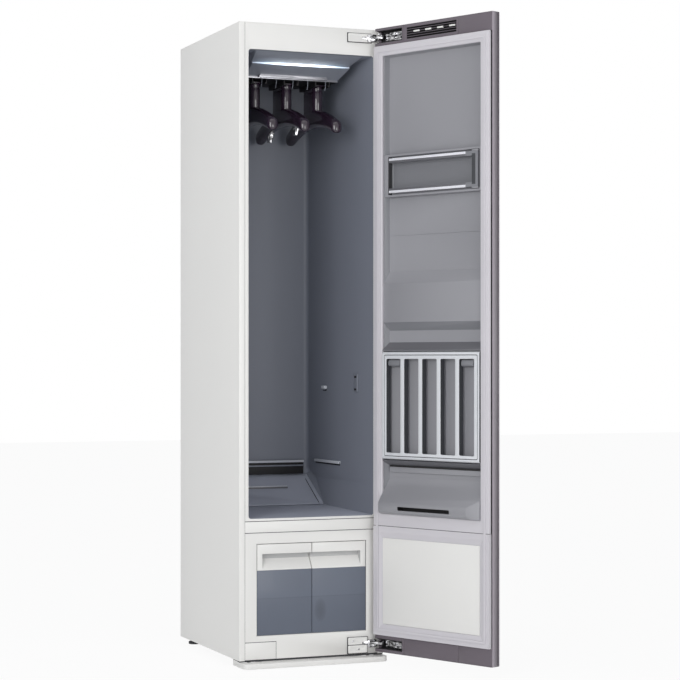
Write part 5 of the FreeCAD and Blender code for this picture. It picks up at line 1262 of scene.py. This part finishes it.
class CABINET_OT_door_fittings(bpy.types.Operator):
    """Models the scoop, the stored shelf and the rail arm on the door"""

    bl_idname = "steam_cabinet.door_fittings"
    bl_label = "Door fittings"

    def execute(self, context):
        self.add_scoop()
        self.add_shelf()
        self.add_arm()
        softened(mm(1), "liner", "rail_bracket")
        return {"FINISHED"}

    def add_scoop(self):
        """The scoop: a sweep out of the recess floor to a blunt nose, with a slot under it."""
        outline = (
            (-15.5, 544.5), (-14.6, 536), (-11.5, 526), (-5, 514), (10, 494), (23, 477), (27, 470.5),
            (27.8, 464), (27.6, 452), (27, 445), (24, 440), (18, 437.3), (-15.5, 437.3),
        )
        scoop = door_rail("door_scoop_moulding", outline, 35, 408)
        corners = ((367, 27.9, 464), (408, 13.5, 490), (408, 16, 437))
        nose, upper, lower = [Vector((across(u), proud(off), mm(z))) for u, off, z in corners]
        facet = (upper - nose).cross(lower - nose).normalized()
        sliced(scoop, nose, facet if facet.y > 0 else -facet)
        sliced(scoop, Vector((across(36), proud(-2), 0)), Vector((1, 0.03, 0)))
        carved(scoop, door_plate("slot", oval(112, 308, 449.5, 460.5, 3), 4, 40))
        finished(rounded(scoop, mm(0.9), 3, 15), "liner", black=self.in_drain)
        replacing(hung(scoop), "door_scoop")

    def in_drain(self, face):
        """True for the inside of the drain slot, which is painted dark as shade."""
        return in_patch(face.center, (111.4, 308.6), (449, 461), 26.5)

    def add_shelf(self):
        """The slatted shelf, stored upright: a framed plate with five long slots and a groove round them."""
        outline = ((-7, 596), (7.5, 596), (11, 599.5), (11, 902.5), (8, 906), (-7, 906))
        shelf = door_rail("door_shelf_moulding", outline, 37.8, 405)
        first, pitch, width = 54.1, 69.3, 54.9
        for number in range(5):
            start = first + pitch * number
            carved(shelf, door_plate("slot", oval(start, start + width, 614.5, 886, 4), -9, 13))
        outer, inner = oval(44.5, 398.5, 604, 898, 5), oval(46.5, 396.5, 606, 896, 4)
        carved(shelf, door_ring("groove", outer, inner, 9.2, 12))
        # The slots' sides, the groove's bottom and the shelf's outer sides are painted very dark as shade.
        finished(rounded(shelf, mm(0.9)), "shelf", shelf_core=self.in_slot)
        replacing(hung(shelf), "door_shelf")

    def in_slot(self, face):
        """True for the sides of the slots, the bottom of the groove and the shelf's outer sides, which get painted
        shade.
        """
        y, steep = face.center.y, abs(face.normal.y) < 0.3
        return y < proud(9.6) and (steep or proud(9) < y) and mm(600) < face.center.z < mm(902)

    def add_arm(self):
        """The arm's two bright bars in their grey yoke, with painted shade along the bars' edges and a dark strip
        of painted shade at the yoke's end.
        """
        low, high = shut_box("rail_arm")
        edges = [low.z + mm(2), low.z + mm(11), high.z - mm(11), high.z - mm(2)]
        side = OPEN_TURN.to_3x3() @ Vector((1, 0, 0))
        planes = [(OPEN_TURN @ Vector((across(u), 0, 0)), side) for u in (349, 386)]
        planes += [(Vector((0, 0, z)), Vector((0, 0, 1))) for z in edges]
        arm = rounded(scored(copied("rail_arm"), *planes), mm(0.8))

        def in_yoke(face):
            return (SHUT_TURN @ face.center).x < across(349.5)

        def on_edge(face):
            x, z = (SHUT_TURN @ face.center).x, face.center.z
            return x > across(349.5) and (z < edges[0] or edges[1] < z < edges[2] or z > edges[3])

        replacing(arm, "rail_arm", "door_bar", pocket=in_yoke, cove=on_edge)
        added(hung(door_block("yoke_end", (372.4, 385), (0, 4.3), (1374, 1460))), "rail_arm", "shelf_core")


# ---------------------------------------------------------------- hinges


class CABINET_OT_hinges(bpy.types.Operator):
    """Finishes the hinges: pale covers, plated arms, links and runners, dark pockets"""

    bl_idname = "steam_cabinet.hinges"
    bl_label = "Hinges"

    def execute(self, context):
        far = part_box("hinge_plates")[1][1]
        # The hinge plates round the covers are painted dark as shade.
        softened(mm(0.8), "chrome", "hinge_plates", rubber=lambda face: face.center.y > far - mm(3.3))
        softened(mm(0.4), "black", "hinge_cups")
        softened(mm(0.5), "chrome", "hinge_links")
        places = ((112, 184.5, 1812, 1836.6), (112, 172.5, 51.5, 72.6), (112, 172.5, 27, 49.4))
        covers = collected("hinge_covers", *[self.cover(*place) for place in places])
        added(covers, "hinge_plates", "moulding", slot_of("service_cover"))
        metal = [self.knuckle(z) for z in (1824, 54)]
        metal += [screw_head(mm(x, -283.5, z), mm(2.8), -1) for x, z in ((145, 38), (127, 62))]
        added(collected("hinge_knuckles", *metal), "hinge_plates", "chrome")
        for end, z in (("top", 1825), ("bottom", 55)):
            self.add_runner(end, z)
        return {"FINISHED"}

    def cover(self, left, right, low, high):
        """A pale cover over a hinge plate, with a sunk panel."""
        near = COVER_FRONT - mm(3.7)
        plate = prism("cover", drawn(*oval(left, right, low, high, 3)), "y", near, near + mm(1.2))
        sunk = drawn(*oval(left + 6, right - 12, low + 5, high - 4, 1.5))
        return rounded(carved(plate, prism("panel", sunk, "y", near - mm(1), near + mm(0.5))), mm(0.4), 2)

    def knuckle(self, z):
        """The plated block at the root of a hinge arm, cut by two slots."""
        y = COVER_FRONT
        outline = drawn(*oval(172, 199, z - 11, z + 11, 4))
        body = prism("knuckle", outline, "y", y - mm(11), y - mm(3.6))
        for low, high, left in ((3.2, 5.4, 180), (-6.6, -4.6, 170)):
            start = (mm(left), y - mm(12), mm(z + low))
            carved(body, block("slot", start, (mm(left + 24), y - mm(6), mm(z + high))))
        return rounded(body, mm(0.7), 2)

    def add_runner(self, end, z):
        """The plated runner, its base, tongue and boss, and its screws, inside a pocket of the door."""
        base = door_block("base", (26, 104), (-21, -17), (z - 12, z + 12))
        bar = door_plate("bar", oval(52, 103, z + 0.5, z + 9.5, 4), -17.2, -6)
        window = door_plate("window", oval(72, 84, z + 3, z + 7, 1.5), -12, -5)
        tongue = door_block("tongue", (62, 98), (-17.2, -11), (z - 9, z - 3))
        boss = turned("boss", drawn((0, 0), (5.5, 0), (5.5, 9), (4, 10), (0, 10)), 24, "y")
        boss.location = (across(60), proud(-16), mm(z + 5))
        parts = [rounded(part, mm(0.8)) for part in (base, carved(bar, window), tongue)]
        screws = [screw_head((across(u), proud(-11), mm(z - 6)), mm(2.6)) for u in (70, 92)]
        runner = collected(f"hinge_runner_{end}", *parts, settle(boss), *screws)
        added(hung(runner), "hinge_cups", "chrome")


# ---------------------------------------------------------------- machine


class CABINET_OT_machine(bpy.types.Operator):
    """Finishes the machine parts behind the panels"""

    bl_idname = "steam_cabinet.machine"
    bl_label = "Machine parts"

    def execute(self, context):
        for finish, nodes in (
            (
                "duct",
                ("fan_housing", "fan_wheel", "top_blower_housing", "top_blower_wheel", "pumps", "rear_air_duct"),
            ),
            ("black", ("compressor",)),
            ("fins", ("heat_exchangers", "steam_generator")),
            ("bar", ("fan_motors",)),
            ("board", ("control_board",)),
        ):
            for node in nodes:
                finished(frame["nodes"][node], finish)
        return {"FINISHED"}


# ---------------------------------------------------------------- stage

# The camera's place is in metres and its turn in radians, its lens and sensor are in millimetres, and the
# picture's side and the horizon's row in pixels.
CAMERA_PLACE = (-2.0642, -5.6208, 0.8864)
CAMERA_TURN = 0.383
FOCAL_LENGTH = 104.67
SENSOR = 36.0
PICTURE = 680
HORIZON_ROW = 358.73


def seen_directly(tree):
    """1 for what is seen, itself, in a reflection or through glass, and 0 for the light that falls on it."""
    path = tree.nodes.new("ShaderNodeLightPath")
    camera, glossy_ray, through = [
        Wire(tree, path.outputs[f"Is {kind} Ray"]) for kind in ("Camera", "Glossy", "Transmission")
    ]
    seen = camera + glossy_ray + through
    return seen.sum("MINIMUM", seen, 1.0)


def mixed_shader(tree, share, first, second, output):
    mixer = tree.nodes.new("ShaderNodeMixShader")
    plug(tree, mixer.inputs[0], share)
    tree.links.new(first.outputs[0], mixer.inputs[1])
    tree.links.new(second.outputs[0], mixer.inputs[2])
    tree.links.new(mixer.outputs[0], output.inputs[0])


class CABINET_OT_stage(bpy.types.Operator):
    """Sets up the floor, the lights and the camera"""

    bl_idname = "steam_cabinet.stage"
    bl_label = "Stage"

    def execute(self, context):
        self.add_floor()
        self.light_room()
        for name, place, aim, size, power in (
            ("key", (-3.6, -4.0, 1.8), (0, 0, 1.0), 2.4, 94),
            ("fill", (0.6, -5.9, 1.1), (0, 0, 0.9), 2.2, 54),
            ("top", (-0.8, -1.6, 4.6), (0, -0.2, 1.0), 3.4, 14),
        ):
            self.add_softbox(name, place, aim, size, power)
        self.add_camera(context.scene)
        context.scene.view_settings.view_transform = "Standard"
        return {"FINISHED"}

    def add_floor(self):
        bpy.ops.mesh.primitive_plane_add(size=30, location=(0, 0, 0))
        floor = bpy.context.object
        floor.name = "floor"
        finish = Finish("studio_floor")
        finish.surface(Base_Color=(0.86, 0.86, 0.86), Roughness=0.9)
        tree = finish.tree
        glow = tree.nodes.new("ShaderNodeEmission")
        output = next(n for n in tree.nodes if n.type == "OUTPUT_MATERIAL")
        mixed_shader(tree, seen_directly(tree) * 0.93, finish.shader, glow, output)
        floor.data.materials.append(finish.material)

    def light_room(self):
        world = bpy.data.worlds.new("Studio")
        bpy.context.scene.world = world
        world.use_nodes = True
        tree = world.node_tree
        tree.nodes.clear()
        room, backdrop = tree.nodes.new("ShaderNodeBackground"), tree.nodes.new("ShaderNodeBackground")
        room.inputs["Color"].default_value = (0.95, 0.97, 1.0, 1)
        room.inputs["Strength"].default_value = 0.5
        backdrop.inputs["Color"].default_value = (1, 1, 1, 1)
        mixed_shader(tree, seen_directly(tree), room, backdrop, tree.nodes.new("ShaderNodeOutputWorld"))

    def add_softbox(self, name, place, aim, size, power):
        bpy.ops.object.light_add(type="AREA", location=place)
        lamp = bpy.context.object
        lamp.name = name
        lamp.data.shape = "RECTANGLE"
        lamp.data.size = lamp.data.size_y = size
        lamp.data.energy = power
        lamp.rotation_euler = (Vector(aim) - Vector(place)).to_track_quat("-Z", "Y").to_euler()

    def add_camera(self, scene):
        bpy.ops.object.camera_add(location=CAMERA_PLACE, rotation=(math.radians(90), 0, -CAMERA_TURN))
        camera = bpy.context.object
        camera.data.lens = FOCAL_LENGTH
        camera.data.sensor_width = SENSOR
        camera.data.shift_y = (HORIZON_ROW - PICTURE / 2) / PICTURE
        scene.camera = camera


# ---------------------------------------------------------------- panel and registration

OPERATORS = (
    CABINET_OT_casing,
    CABINET_OT_cavity,
    CABINET_OT_hangers,
    CABINET_OT_tanks,
    CABINET_OT_door_body,
    CABINET_OT_door_liner,
    CABINET_OT_door_fittings,
    CABINET_OT_hinges,
    CABINET_OT_machine,
    CABINET_OT_stage,
)


class CABINET_PT_steps(bpy.types.Panel):
    """Lists the steps that dress the cabinet"""

    bl_label = "Steam cabinet"
    bl_idname = "CABINET_PT_steps"
    bl_space_type = "VIEW_3D"
    bl_region_type = "UI"
    bl_category = "Steam cabinet"

    def draw(self, context):
        for step in OPERATORS:
            self.layout.operator(step.bl_idname)


CLASSES = (CabinetColours, CabinetSizes, *OPERATORS, CABINET_PT_steps)


def register():
    for cls in CLASSES:
        bpy.utils.register_class(cls)
    bpy.types.Scene.cabinet_colours = PointerProperty(type=CabinetColours)
    bpy.types.Scene.cabinet_sizes = PointerProperty(type=CabinetSizes)


def unregister():
    del bpy.types.Scene.cabinet_colours
    del bpy.types.Scene.cabinet_sizes
    for cls in reversed(CLASSES):
        bpy.utils.unregister_class(cls)


def main():
    register()
    mix_finishes(bpy.context.scene.cabinet_colours)
    for step in OPERATORS:
        group, name = step.bl_idname.split(".")
        getattr(getattr(bpy.ops, group), name)()


if __name__ == "__main__":
    main()
